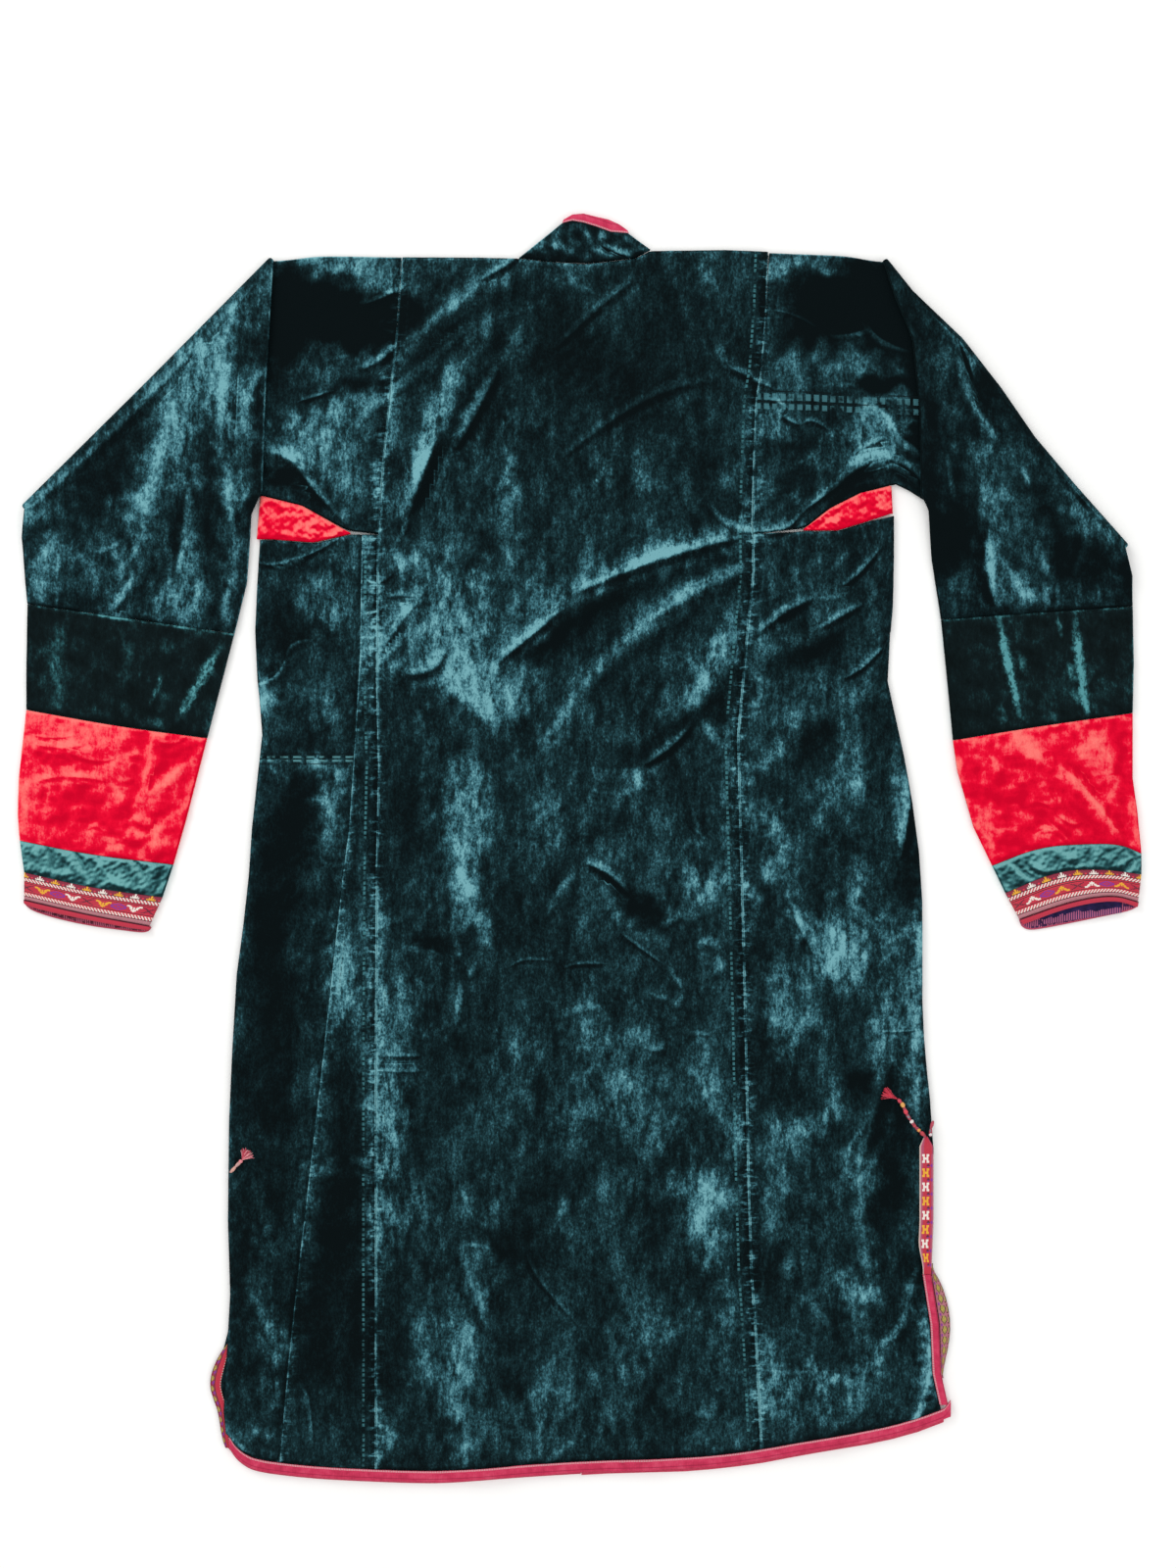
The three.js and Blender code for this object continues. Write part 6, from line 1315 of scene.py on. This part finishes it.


# woven trim, charted; one letter is one thread cell
threads = {
    "r": "#c2213f", "m": "#8c1c3c", "d": "#4a1226", "W": "#f4ece2", "O": "#f0b02c", "P": "#8a2a94",
    "B": "#561430", "p": "#c98a92", "t": "#b4707c", "R": "#e2304a", "k": "#d9c4b8", "g": "#a09848",
    "y": "#d2a648", "v": "#b04466",
}
smallSteps = ["....WW....", "..W.WW.W..", "W.WWWWWW.W", "WWWWWWWWWW"]
bigSteps = [
    "WWWW..........WWWW",
    "WWWWWW......WWWWWW",
    "...WWWW.WW.WWWW...",
    "....WWW.WW.WWW....",
    "......WWWWWW......",
    "......WWWWWW......",
    "........WW........",
]
diamond = [
    "......PPPPPP......",
    "...PPPPP..PPPPP...",
    "PPPPPP......PPPPPP",
    "PPP....PPPP....PPP",
    "PPPPPP......PPPPPP",
    "...PPPPP..PPPPP...",
    "......PPPPPP......",
]
cross = [
    "BB............BB..",
    "..BBB......BBB....",
    "....BBB..BBB......",
    "......BBBB........",
    "....BBB..BBB......",
    "..BBB......BBB....",
    "BB............BB..",
]


def cuffChart(inverted):
    # rows from the teal band down to the piping
    rows = []
    for i, line in enumerate(smallSteps):
        white, orange = line.replace(".", "m"), line.replace(".", "m").replace("W", "O")
        gap = "mmmRRmmm" if i in (2, 3) else "mmmmmmmm"
        rows.append(white + gap + orange + gap)
    rows += ["d", "WWrr", "rWWr", "rrWW", "WrrW", "d", "R", "d", "rR"]
    steps = bigSteps[::-1] if inverted else bigSteps
    for i in range(7):
        white, orange = steps[i].replace(".", "r"), steps[i].replace(".", "r").replace("W", "O")
        rows.append(white + cross[i].replace(".", "r") + orange + diamond[i].replace(".", "r"))
    rows += ["rR", "d", "R", "WWrr", "rWWr", "rrWW", "WrrW", "d", "pt", "tp", "pt", "tp"]
    return rows


def chartColours(rows, cells, lines, offset=0):
    # each face takes the letter of its place in the chart, tiled across
    palette = {key: shade(value) for key, value in threads.items()}
    grid = np.empty((cells, lines, 4), dtype=np.float32)
    for i in range(cells):
        line = rows[min(len(rows) - 1, int(i * len(rows) / cells))]
        tile = np.array([palette[c] for c in line], dtype=np.float32)
        grid[i] = tile[(np.arange(lines) + offset) % len(line)]
    return grid


def flapNap(table, dark, level, turn=70, gain=0.45):
    # level + 0.7 * painted sheen and shade patches + gain * painted slope light
    def at(x, y, points):
        return level + 0.7 * sheenAndShade(x, y, table, dark) + gain * slopeLight(points, turn)
    return at


def crumple(table, low, parts):
    # a table's ridges, with strength * noise for each (strength, size, seed, stretch)
    def at(x, y):
        total = ridgeField(x, y, table, low)
        for strength, size, seed, stretch in parts:
            total = total + strength * softNoise(x, y, size, seed, stretch)
        return total
    return at


for key in ("left", "right"):
    foldedSleeve(key)
    side = sleeves[key]
    start, before = pathOf([side["inner"][-1], side["outer"][-1]]), 1.8
    plan = [
        ("dark", velvetBand, "velvet_band", 66, 2.8,
         crumple((), 0.3, [(0.4, 26, 41, 1.0), (0.15, 9, 42, 1.0)]),
         flapNap(bandSheen[key], (), 0.22), sleeveCreases[key]),
        ("red", redVelvet, "red_velvet", 70, 2.4,
         crumple(redCreases[key], 0.2, [(0.5, 24, 43, 1.0), (0.3, 9, 44, 1.0)]),
         flapNap(redSheen[key], redShade[key], redNap[key], 110), redLines[key]),
        ("teal", tealVelvet, "teal_velvet", 110, 1.2,
         crumple(tealCreases[key], 0.3, [(0.5, 10, 45, 1.5), (0.25, 5, 46, 1.0)]),
         flapNap((), (), 0.54, 100, 0.55), ()),
        ("trim", woven, "woven_trim", 150, 0.8, crumple((), 0.3, [(0.25, 12, 47, 1.0)]),
         flapNap((), (), 0.0, 70, 0.0), ()),
    ]
    for label, material, slot, cells, step, extra, toneAndLightOf, lines in plan:
        chart = cuffChart(key == "right") if label == "trim" else None
        start, before = sleeveBand(key, label, start, before, material, cells, step, extra, toneAndLightOf,
                                   lines, chart)
print("sleeves made")


# a binding's section round an edge: share of its width, and height from 1 on top to -1 below
wrapShare = np.array([0, 0.22, 0.45, 0.7, 0.86, 0.95, 1.0, 0.95, 0.86, 0.5, 0.0])
wrapRise = np.array([1, 1, 1, 1, 0.92, 0.62, 0.0, -0.62, -0.92, -1, -1])


def wrapped(name, inner, outer, low, high, material, count, swell=0.35):
    # inner and outer give points for shares of the strip's length; low and high give its heights there
    t = np.linspace(0, 1, count)
    a, b = inner(t), outer(t)
    share, rise = wrapShare[None, :, None], wrapRise[None, :]
    place = a[:, None, :] * (1 - share) + b[:, None, :] * share
    lo, hi = np.broadcast_to(low(t), t.shape)[:, None], np.broadcast_to(high(t), t.shape)[:, None]
    z = (lo + hi) / 2 + rise * (hi - lo) / 2 + swell * np.sin(math.pi * wrapShare)[None, :] * (rise > 0.5)
    points = np.concatenate([place, z[..., None]], axis=-1)
    wide = np.hypot(*(b - a).T)
    run = np.concatenate([[0], np.cumsum(np.hypot(*np.diff((a + b) / 2, axis=0).T))])
    away = wide[:, None] * np.where(wrapRise > -0.5, wrapShare, 2 + (1 - wrapShare))[None, :]
    attributes = {"run": run[:, None] + 0 * z, "fromLeft": away, "fromRight": wide[:, None] - away,
                  "toneAndLight": 0 * z}
    makeMesh(name, points, material, attributes, wall=0.7, rolled=True)


def between(x0, x1, place):
    # place(x), for shares of the way from x0 to x1
    return lambda t: place(x0 + (x1 - x0) * np.asarray(t, float))


def flatAt(height):
    # one height all along
    return lambda t: height + 0 * t


def hemInner(x):
    # the binding's width above the hem, drawn up at the slit
    return np.stack([x, hemAt(x) + cloth["binding"] + np.interp(x, [333, 338.6], [0, 5.5])], axis=-1)


def hemOuter(x):
    # the hem with a slight wave
    return np.stack([x, hemAt(x) + 0.5 * np.sin(x / 17) * np.sin(x / 7.3)], axis=-1)


hemEnds = (-322.6, 338.8)
hemLift = between(*hemEnds, lambda x: foldHeight(x, hemAt(x) + cloth["binding"]))
wrapped("hem_binding_back", between(*hemEnds, hemInner), between(*hemEnds, hemOuter),
        lambda t: backLow + hemLift(t), lambda t: backTop + 0.5 + hemLift(t),
        crimson, 420)
slit = {"top": -391.2, "low": -511, "wide": 7.8}


def slitEdge(inward):
    # down the right slit, so far in from the panel's edge
    return between(slit["top"], slit["low"], lambda y: np.stack([rightEdgeX(y) - inward, y], -1))


wrapped("slit_binding_back_right", slitEdge(slit["wide"]), slitEdge(0.0),
        flatAt(backLow), flatAt(backTop + 0.5), crimson, 90)

# the left front's hem binding, seen below the back's
frontHem = {"from": -326.5, "to": -0.4, "up": 6.4, "down": -1.6}
across = np.linspace(frontHem["from"], frontHem["to"], 200)[:, None] + np.zeros((1, 2))
level = hemAt(across) + np.array([[frontHem["up"], frontHem["down"]]])
makeMesh("hem_binding_front_left", np.stack([across, level, np.full_like(across, cloth["wall"])], -1),
         crimsonPlain, wall=1.9)

# neck stand and its binding
neckBase = pathOf([(-57, 540.6), (-30, 537.6), (6, 535.8), (49, 540.6), (63.5, 548.2)])
neckTop = pathOf([(-17.5, 572), (-8, 574.2), (2, 572.5), (14, 568.8), (27, 564), (43.5, 562.5)])
stand = patchOf(neckBase, neckTop, pathOf([(-57, 540.6), (-17.5, 572)]),
                pathOf([(63.5, 548.2), (43.5, 562.5)]))
share, way, rise = tubeColumns(110, 34)
s = np.linspace(0.0, 0.985, 14)[:, None]
place = stand(s, share[None, :])
x, y = place[..., 0], place[..., 1]
neckCreases = [(29, 540, 49, 545, 66, 549, 4, 1.4), (-40, 556, -22, 548, -6, 541, 4, 1.2),
               (-6, 570, 4, 556, 8, 542, 4, 0.9), (40, 560, 48, 552, 50, 546, 4, 1.0)]
# crisp creases: the same columns as those of the back
neckLines = [(19, 552, 33, 546, 49, 539, 3.2, 0.95, -1), (7, 549, 22, 543, 38, 539, 2.6, 0.6, 0),
             (55, 543, 60, 545.5, 65, 548, 2.2, 0.7, 0), (-29, 557, -25, 549, -24, 541, 2.8, 0.6, 0),
             (-46, 552, -38, 549, -30, 542, 3, 0.5, 0), (4, 563, 9, 556, 8, 547, 2.2, 0.5, 0),
             (-14, 560, -8, 552, -10, 543, 2.4, 0.4, 0), (36, 560, 42, 555, 50, 551, 2, 0.4, 0)]
height, fold, light = creaseField(x, y, neckLines)
over = (backTop + 1.8 * s + (ridgeField(x, y, neckCreases, 0.3) + 0.7 * height) * (way > 0)
        + 0.2 * softNoise(x, y, 14, 51))
points = np.stack([x, y, tubeHeight(0.0, over, way, rise)], axis=-1)
# the stand's tone with painted slope light, and painted shade along its foot where it meets the back
toneAndLight = (0.28 + 0.4 * slopeLight(points, 60) + 0.13 * softNoise(x, y, 13, 52)
       - 0.25 * np.exp(-(s * 34 / 3) ** 2))
makeMesh("neck_stand", points, velvetPlain,
         {"toneAndLight": toneAndLight, "fold": fold, "foldLight": light, "run": y, "fromLeft": x * 0 + 50,
          "fromRight": x * 0 + 50}, closed=True)
neckIn = pathOf([(-17.5, 571.8), (-8, 574.0), (2, 572.3), (14, 568.6), (27, 563.8), (43.8, 562.4)])
neckOut = pathOf([(-15.5, 575.5), (-8, 580), (2, 581), (13, 578.3), (25, 575.5), (35, 571),
                  (42.5, 565.4)])
wrapped("neck_binding", neckIn, neckOut, flatAt(1.2), flatAt(backTop + 2.2),
        crimson, 90)


def gusset(name, out, upper, lower, bright):
    # a square folded on its slant: two legs and the bend between them
    up, low = pathOf(upper), pathOf(lower)
    bend = backTop / 2
    legs = [(u, 0.0) for u in np.linspace(0.0, 0.96, 30)]
    legs += [(0.96, a) for a in (30, 60, 90, 120, 150)]
    legs += [(u, 180.0) for u in np.linspace(0.96, 0.0, 60)]
    u, turn = np.array(legs).T[:, :, None]
    v = np.linspace(0, 1, 26)[None, :]
    a, b = up(u + 0 * v), low(u + 0 * v)
    x = a[..., 0] + (b[..., 0] - a[..., 0]) * v + out * bend * np.sin(np.radians(turn))
    y = a[..., 1] + (b[..., 1] - a[..., 1]) * v
    ruffle = (0.55 * softNoise(x, y, 13, 61) + 0.3 * softNoise(x, y, 6, 62)) * (turn > 100)
    edge = np.minimum(v, 1 - v) * 24
    z = (bend - bend * np.cos(np.radians(turn)) + np.maximum(ruffle, -0.8) * easeIn(edge / 3)
         - 0.9 * np.exp(-(edge / 1.6) ** 2) * (turn > 100))
    points = np.stack([x, y, z], axis=-1)
    # tone with painted sheen patches and painted slope light
    toneAndLight = 0.36 + sheenAndShade(x, y, bright, []) + 0.6 * slopeLight(points, 100) + 0.1 * softNoise(x, y, 9, 63)
    makeMesh(name, points, redVelvet, {"toneAndLight": toneAndLight, "run": x}, rolled=True)


gusset("gusset_left", -1, [(-212, 288.6), (-238, 303.2), (-256, 313.2), (-296, 323.0)],
       [(-211.5, 287.4), (-223, 284.6), (-246, 279.6), (-282, 282.4), (-299, 282.6)],
       [(-252, 300, 16, 8, 70, 0.3), (-284, 296, 12, 5, 30, 0.3), (-240, 290, 24, 4, -8, 0.35)])
gusset("gusset_right", 1, [(205, 292.6), (228, 310.6), (256, 324.7), (286, 332.2)],
       [(204, 290.6), (235, 290.6), (264, 299.4), (287, 307)],
       [(262, 316, 24, 5, 24, 0.35), (236, 300, 16, 5, 10, 0.3)])


def cuffEdges(key):
    # the piping on the upper lip and the strip inside the lower one
    side = sleeves[key]
    lip = side["lip"]
    start = pathOf(side["trim"]["end"], 3)
    upperEnd, lowerEnd = pathOf(lip["end"], 3), pathOf(lip["low"], 3)

    def raised(low):
        # low + puff * sin(pi t)^1.3
        return lambda t: low + lip["puff"] * np.sin(math.pi * np.clip(t, 0, 1)) ** 1.3

    wrapped(f"cuff_{key}_binding_upper", start, upperEnd, raised(backLow + 0.1), raised(backTop + 0.2),
            cuffPiping, 130, swell=0.5)
    wrapped(f"cuff_{key}_binding_lower", start, lowerEnd, flatAt(0.0), flatAt(cloth["wall"] - 0.2),
            lowerLip[key], 130, swell=0.2)


cuffEdges("left")
cuffEdges("right")

# the facing seen inside the right cuff
t, v = np.linspace(0, 1, 90)[:, None], np.linspace(0, 1, 30)[None, :]
faceWide = 27
faceIn = pathOf([(414, -48), (440, -37), (480, -33), (494, -36)])
faceOut = pathOf([(424, -70.5), (470, -64), (496, -60)])
place = faceIn(t + 0 * v) * (1 - v[..., None]) + faceOut(t + 0 * v) * v[..., None]
x, y = place[..., 0], place[..., 1]
z = (cloth["wall"] + cloth["seam"] + 0.8 + 0.3 * softNoise(x, y, 9, 71) * easeIn(v * 5)
     * easeIn((1 - v) * 5))
makeMesh("cuff_right_facing", np.stack([x, y, z], -1), facing,
         {"run": x, "fromRight": (1 - v) * faceWide + 0 * t, "fromLeft": v * faceWide + 0 * t}, wall=0.8)

# the side slits' woven trim, charted: two posts and the bar between them
twoPosts = ["WWW..WWW", "WWW..WWW", ".WW..WW.", ".WWWWWW.", ".WWWWWW.", ".WW..WW.", "WWW..WWW",
            "WWW..WWW"]


def slitChart():
    # one letter is one cell; the strip runs down, so each line is one step along it
    rows = ["kpvvvrrrrrrrrrvm"] * 16
    for k in range(8):
        ink = "W" if k % 2 == 0 else "O"
        for line in twoPosts:
            rows.append("kpv" + line.replace(".", "r").replace("W", ink) + "rrvvp")
        rows += ["kpvvrrrrrrrrrvvp", "kpvvrrrrrBBrrPPp", "kpvvrrrrBBBBPPPp", "kpvvrrrrrPPrrPPp",
                 "kpvvrrrrrrrrrvvp"]
    return rows + ["kprrrrrrrrrrrrrm"] * 6


def frontChart(gold):
    # the fronts' slit trims, from the inner edge out
    rows = []
    for _ in range(11):
        if gold:
            rows += ["dtttdgggdttdt", "dtttdygggdtgd", "mttdgggygdtgd", "dttdgygggdtgd", "dtttdgggdttgd",
                     "mttttdgdttddt", "dtPPttdtttttt", "dtPPtttttttdt"]
        else:
            rows += ["krrrrrrdmmggm", "rrrrrrrdmgggm", "krrrrrrdmgygm", "rrrrrrrdmmggd", "krrrrrrdPPmmd",
                     "rrrrrrrdPPPmm", "krrrrrrdmPmmm", "rrrrrrrdmmmmm"]
    return rows


def trimStrip(name, inner, outer, y0, y1, lift, rows, thick, ends=0.0):
    # one face for each letter of rows, from y0 down to y1 between the inner and the outer edge
    cells, lines = len(rows), len(rows[0])
    y = np.linspace(y0, y1, cells + 1)[:, None] + np.zeros((1, lines + 1))
    a, b = inner(y), outer(y)
    share = np.linspace(0, 1, lines + 1)[None, :]
    x = a + (b - a) * share
    # the first rows draw in to a point
    draw = np.clip((y0 - y) / ends, 0, 1) if ends else np.ones_like(y)
    x = (a + b) / 2 + (x - (a + b) / 2) * (0.25 + 0.75 * draw)
    z = lift(x, y) + 0.25 * np.sin(math.pi * share)
    palette = {key: shade(value) for key, value in threads.items()}
    paint = np.array([[palette[c] for c in line] for line in rows], dtype=np.float32)
    makeMesh(name, np.stack([x, y, z], -1), woven, {"run": y, "fromLeft": x - a},
             colours=paint, wall=thick)


def backTrimIn(y):
    # 13 mm in from the edge, 8 at the lower end
    return rightEdgeX(y) - 13 + 5 * easeIn((-360 - y) / 30)


def backTrimLift(x, y):
    # on the back, with the fold at x = 318
    return backTop + 1.5 + foldHeight(x * 0 + 318, y)


def frontTrimOut(y):
    # the front's edge, always 1.4 or more beyond the back's
    return np.maximum(rightEdgeX(y) + 1.4, lineX(soften(slitOutRight, 2))(y))


def frontTrimLift(x, y):
    # just above the front
    return cloth["wall"] + 0.35 + 0 * x


trimStrip("slit_trim_back_right", backTrimIn, lambda y: rightEdgeX(y) - 0.2, -265, -391,
          backTrimLift, slitChart(), 1.2, ends=9)
trimStrip("slit_trim_front_right", lambda y: rightEdgeX(y) + 0.4, frontTrimOut, -382, -487,
          frontTrimLift, frontChart(True), 1.6)
trimStrip("slit_trim_front_left", lineX(soften(slitInLeft, 2)), lineX(soften(slitOutLeft, 2)), -447, -551,
          frontTrimLift, frontChart(False), 1.6)
print("bindings and trims made")


def strandGrid(line, radius, sides=6):
    # a tube round a line of points, with a radius at each
    line, radius = np.array(line, float), np.array(radius, float)
    run = np.gradient(line, axis=0)
    run /= np.linalg.norm(run, axis=1, keepdims=True) + 1e-9
    side = np.stack([-run[:, 1], run[:, 0], np.zeros(len(line))], -1)
    side /= np.linalg.norm(side, axis=1, keepdims=True) + 1e-9
    up = np.cross(side, run)
    turn = 2 * math.pi * np.arange(sides) / sides
    ring = side[:, None, :] * np.cos(turn)[None, :, None] + up[:, None, :] * np.sin(turn)[None, :, None]
    return line[:, None, :] + ring * radius[:, None, None]


def gatherMesh(name, parts):
    # parts are closed grids with one colour each; the ends are shut by a last point
    verts, faces, paint, base = [], [], [], 0
    for grid, colour in parts:
        rows, cols = grid.shape[:2]
        ends = np.stack([grid[0].mean(0), grid[-1].mean(0)])
        verts.append(np.concatenate([grid.reshape(-1, 3), ends]))
        index = np.arange(rows * cols).reshape(rows, cols) + base
        after = np.roll(index, -1, axis=1)
        quads = np.stack([index[:-1], index[1:], after[1:], after[:-1]], -1).reshape(-1, 4)
        first, last = base + rows * cols, base + rows * cols + 1
        caps = ([[int(first), int(a), int(b)] for a, b in zip(index[0], after[0])]
                + [[int(last), int(b), int(a)] for a, b in zip(index[-1], after[-1])])
        faces += quads.tolist() + caps
        paint += [shade(colour)] * (4 * len(quads) + 3 * len(caps))
        base += rows * cols + 2
    mesh = bpy.data.meshes.new(name)
    mesh.from_pydata((np.concatenate(verts) * mm).tolist(), [], faces)
    layer = mesh.attributes.new("thread", "FLOAT_COLOR", "CORNER")
    layer.data.foreach_set("color", np.array(paint, dtype=np.float32).ravel())
    mesh.polygons.foreach_set("use_smooth", np.full(len(faces), True))
    mesh.materials.append(woven)
    mesh.update()
    piece = bpy.data.objects.new(name, mesh)
    scene.collection.objects.link(piece)
    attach(piece, "root")
    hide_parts(name)


# beads are (share along the cord, radius, length, colour)
def tassel(name, cord, beads, tip=None, strands=0, spread=1.0, colours=("#c8304a", "#f0506a"),
           cordColour="#b04458"):
    rng = np.random.default_rng(len(name) + strands)
    line = pathOf(cord)
    t = np.linspace(0, 1, 60)
    xy = line(t)
    length = float(np.hypot(*np.diff(xy, axis=0).T).sum())
    z = backTop + 2.2 + foldHeight(xy[:, 0], xy[:, 1])
    parts, gone = [], xy[-1] - xy[0]
    for phase in (0, math.pi):  # two plies twisted
        a = t * length / 2.2 + phase
        side = np.stack([-gone[1] * np.ones(60), gone[0] * np.ones(60)], -1) / length
        ply = np.concatenate([xy + side * (0.7 * np.sin(a))[:, None], (z + 0.6 * np.cos(a))[:, None]], -1)
        parts.append((strandGrid(ply, np.full(60, 0.85)), cordColour))
    for place, size, long, colour in beads:
        c = line(np.array([place]))[0]
        d = line(np.array([min(1.0, place + 0.02)]))[0] - line(np.array([max(0.0, place - 0.02)]))[0]
        d = d / (np.hypot(*d) + 1e-9)
        k = np.linspace(-1, 1, 9)
        lift = backTop + 2.3 + float(foldHeight(c[:1], c[1:])[0])
        centre = np.concatenate([c + k[:, None] * d * long / 2, np.full((9, 1), lift)], -1)
        parts.append((strandGrid(centre, size * np.sqrt(np.clip(1 - k ** 2, 0.02, 1)), 10), colour))
    if strands:
        head = line(np.array([1.0]))[0]
        way = np.array(tip) - head
        reach, turn = float(np.hypot(*way)), math.atan2(way[1], way[0])
        for i in range(strands):
            a = turn + spread * (rng.random() - 0.5)
            far = reach * rng.uniform(0.7, 1.08)
            k = np.linspace(0, 1, 7)
            bow = rng.uniform(-0.35, 0.35)
            angle = a + bow * k
            x, y = head[0] + np.cos(angle) * far * k, head[1] + np.sin(angle) * far * k
            height = (backTop + 1.0 + foldHeight(x, y)
                      + rng.uniform(0.2, 3.0) * np.sin(math.pi * k * 0.8) + 0.8)
            parts.append((strandGrid(np.stack([x, y, height], -1), np.linspace(0.42, 0.22, 7), 4),
                          colours[i % len(colours)]))
    gatherMesh(name, parts)


tassel("tassel_right", [(315.5, -265), (306, -256), (298.5, -245), (294, -235), (290, -230.5)],
       [(0.1, 1.9, 5.0, "#c84450"), (0.2, 1.7, 3.4, "#e8a050"), (0.33, 1.6, 3.0, "#c84450"),
        (0.44, 2.0, 3.6, "#f0e8e4"), (0.56, 1.3, 3.6, "#8a8a94"), (0.68, 2.0, 5.0, "#e04458"),
        (0.84, 2.1, 5.6, "#eeb060"), (0.95, 1.8, 4.0, "#d84058")], tip=(276.5, -224), strands=70,
       spread=0.4, colours=("#e0304c", "#f4566c", "#b82440"))
tassel("tassel_right_short", [(319.8, -264.5), (320.3, -257), (322.4, -250.5)],
       [(0.1, 1.6, 3.4, "#e8e0e2"), (0.4, 1.2, 5.0, "#8a7a86"), (0.8, 1.5, 6.0, "#c04a60")])
tassel("tassel_left", [(-321, -297.6), (-315.5, -291.5), (-310.5, -286.3)],
       [(0.25, 1.3, 7.0, "#dca898"), (0.6, 1.1, 6.0, "#c4a0a0"), (0.9, 1.8, 3.6, "#f0909a")],
       tip=(-303.5, -277.5), strands=60, spread=1.0, colours=("#f08a98", "#c83450", "#f4a8ac"),
       cordColour="#d8a49c")
print("tassels made")

# hidden pieces keep their plain form
plain = {"front_left": velvetHidden, "front_right": velvetHidden, "front_side": velvetHidden,
         "hem_binding_front_right": crimsonPlain, "front_edge_binding": crimsonPlain}
for name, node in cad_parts.items():
    for start, material in plain.items():
        if name.startswith(start):
            thing = node if hasattr(node, "data") else bpy.data.objects[name]
            for slotHere in thing.material_slots:
                slotHere.material = material

# floor and light
studio = {"floor": 6.0, "low": -0.0006, "world": 0.95, "key": 26.0, "fill": 9.0}
floorMesh = bpy.data.meshes.new("floor")
half = studio["floor"]
corners = [(-half, -half), (half, -half), (half, half), (-half, half)]
floorMesh.from_pydata([(x, y, studio["low"]) for x, y in corners], [], [(0, 1, 2, 3)])
floor = bpy.data.objects.new("floor", floorMesh)
scene.collection.objects.link(floor)
floorMaterial, floorTree, floorShader = newMaterial("paleFloor", 0.9, 0.0, 0.1)
floorColour = rampNode(floorTree, noiseNode(floorTree, objectPlace(floorTree), 300, 2),
                       [(0.0, "#f4f4f2"), (1.0, "#fbfbfa")])
wire(floorTree, floorColour, floorShader.inputs["Base Color"])
floorMesh.materials.append(floorMaterial)

world = bpy.data.worlds.new("studio")
scene.world = world
world.use_nodes = True
world.node_tree.nodes["Background"].inputs["Color"].default_value = (1, 1, 1, 1)
world.node_tree.nodes["Background"].inputs["Strength"].default_value = studio["world"]
for name, place, size, power in (("key", (-1.6, 2.0, 1.5), 1.2, studio["key"]),
                                 ("fill", (1.8, -1.2, 2.2), 2.0, studio["fill"])):
    lightData = bpy.data.lights.new(name, "AREA")
    lightData.size = size
    lightData.energy = power
    light = bpy.data.objects.new(name, lightData)
    light.location = place
    direction = np.array((0.0, 0.05, 0.0)) - np.array(place)
    light.rotation_euler = (math.atan2(math.hypot(direction[0], direction[1]), -direction[2]), 0,
                            math.atan2(direction[0], -direction[1]) + math.pi)
    scene.collection.objects.link(light)
print("studio made")
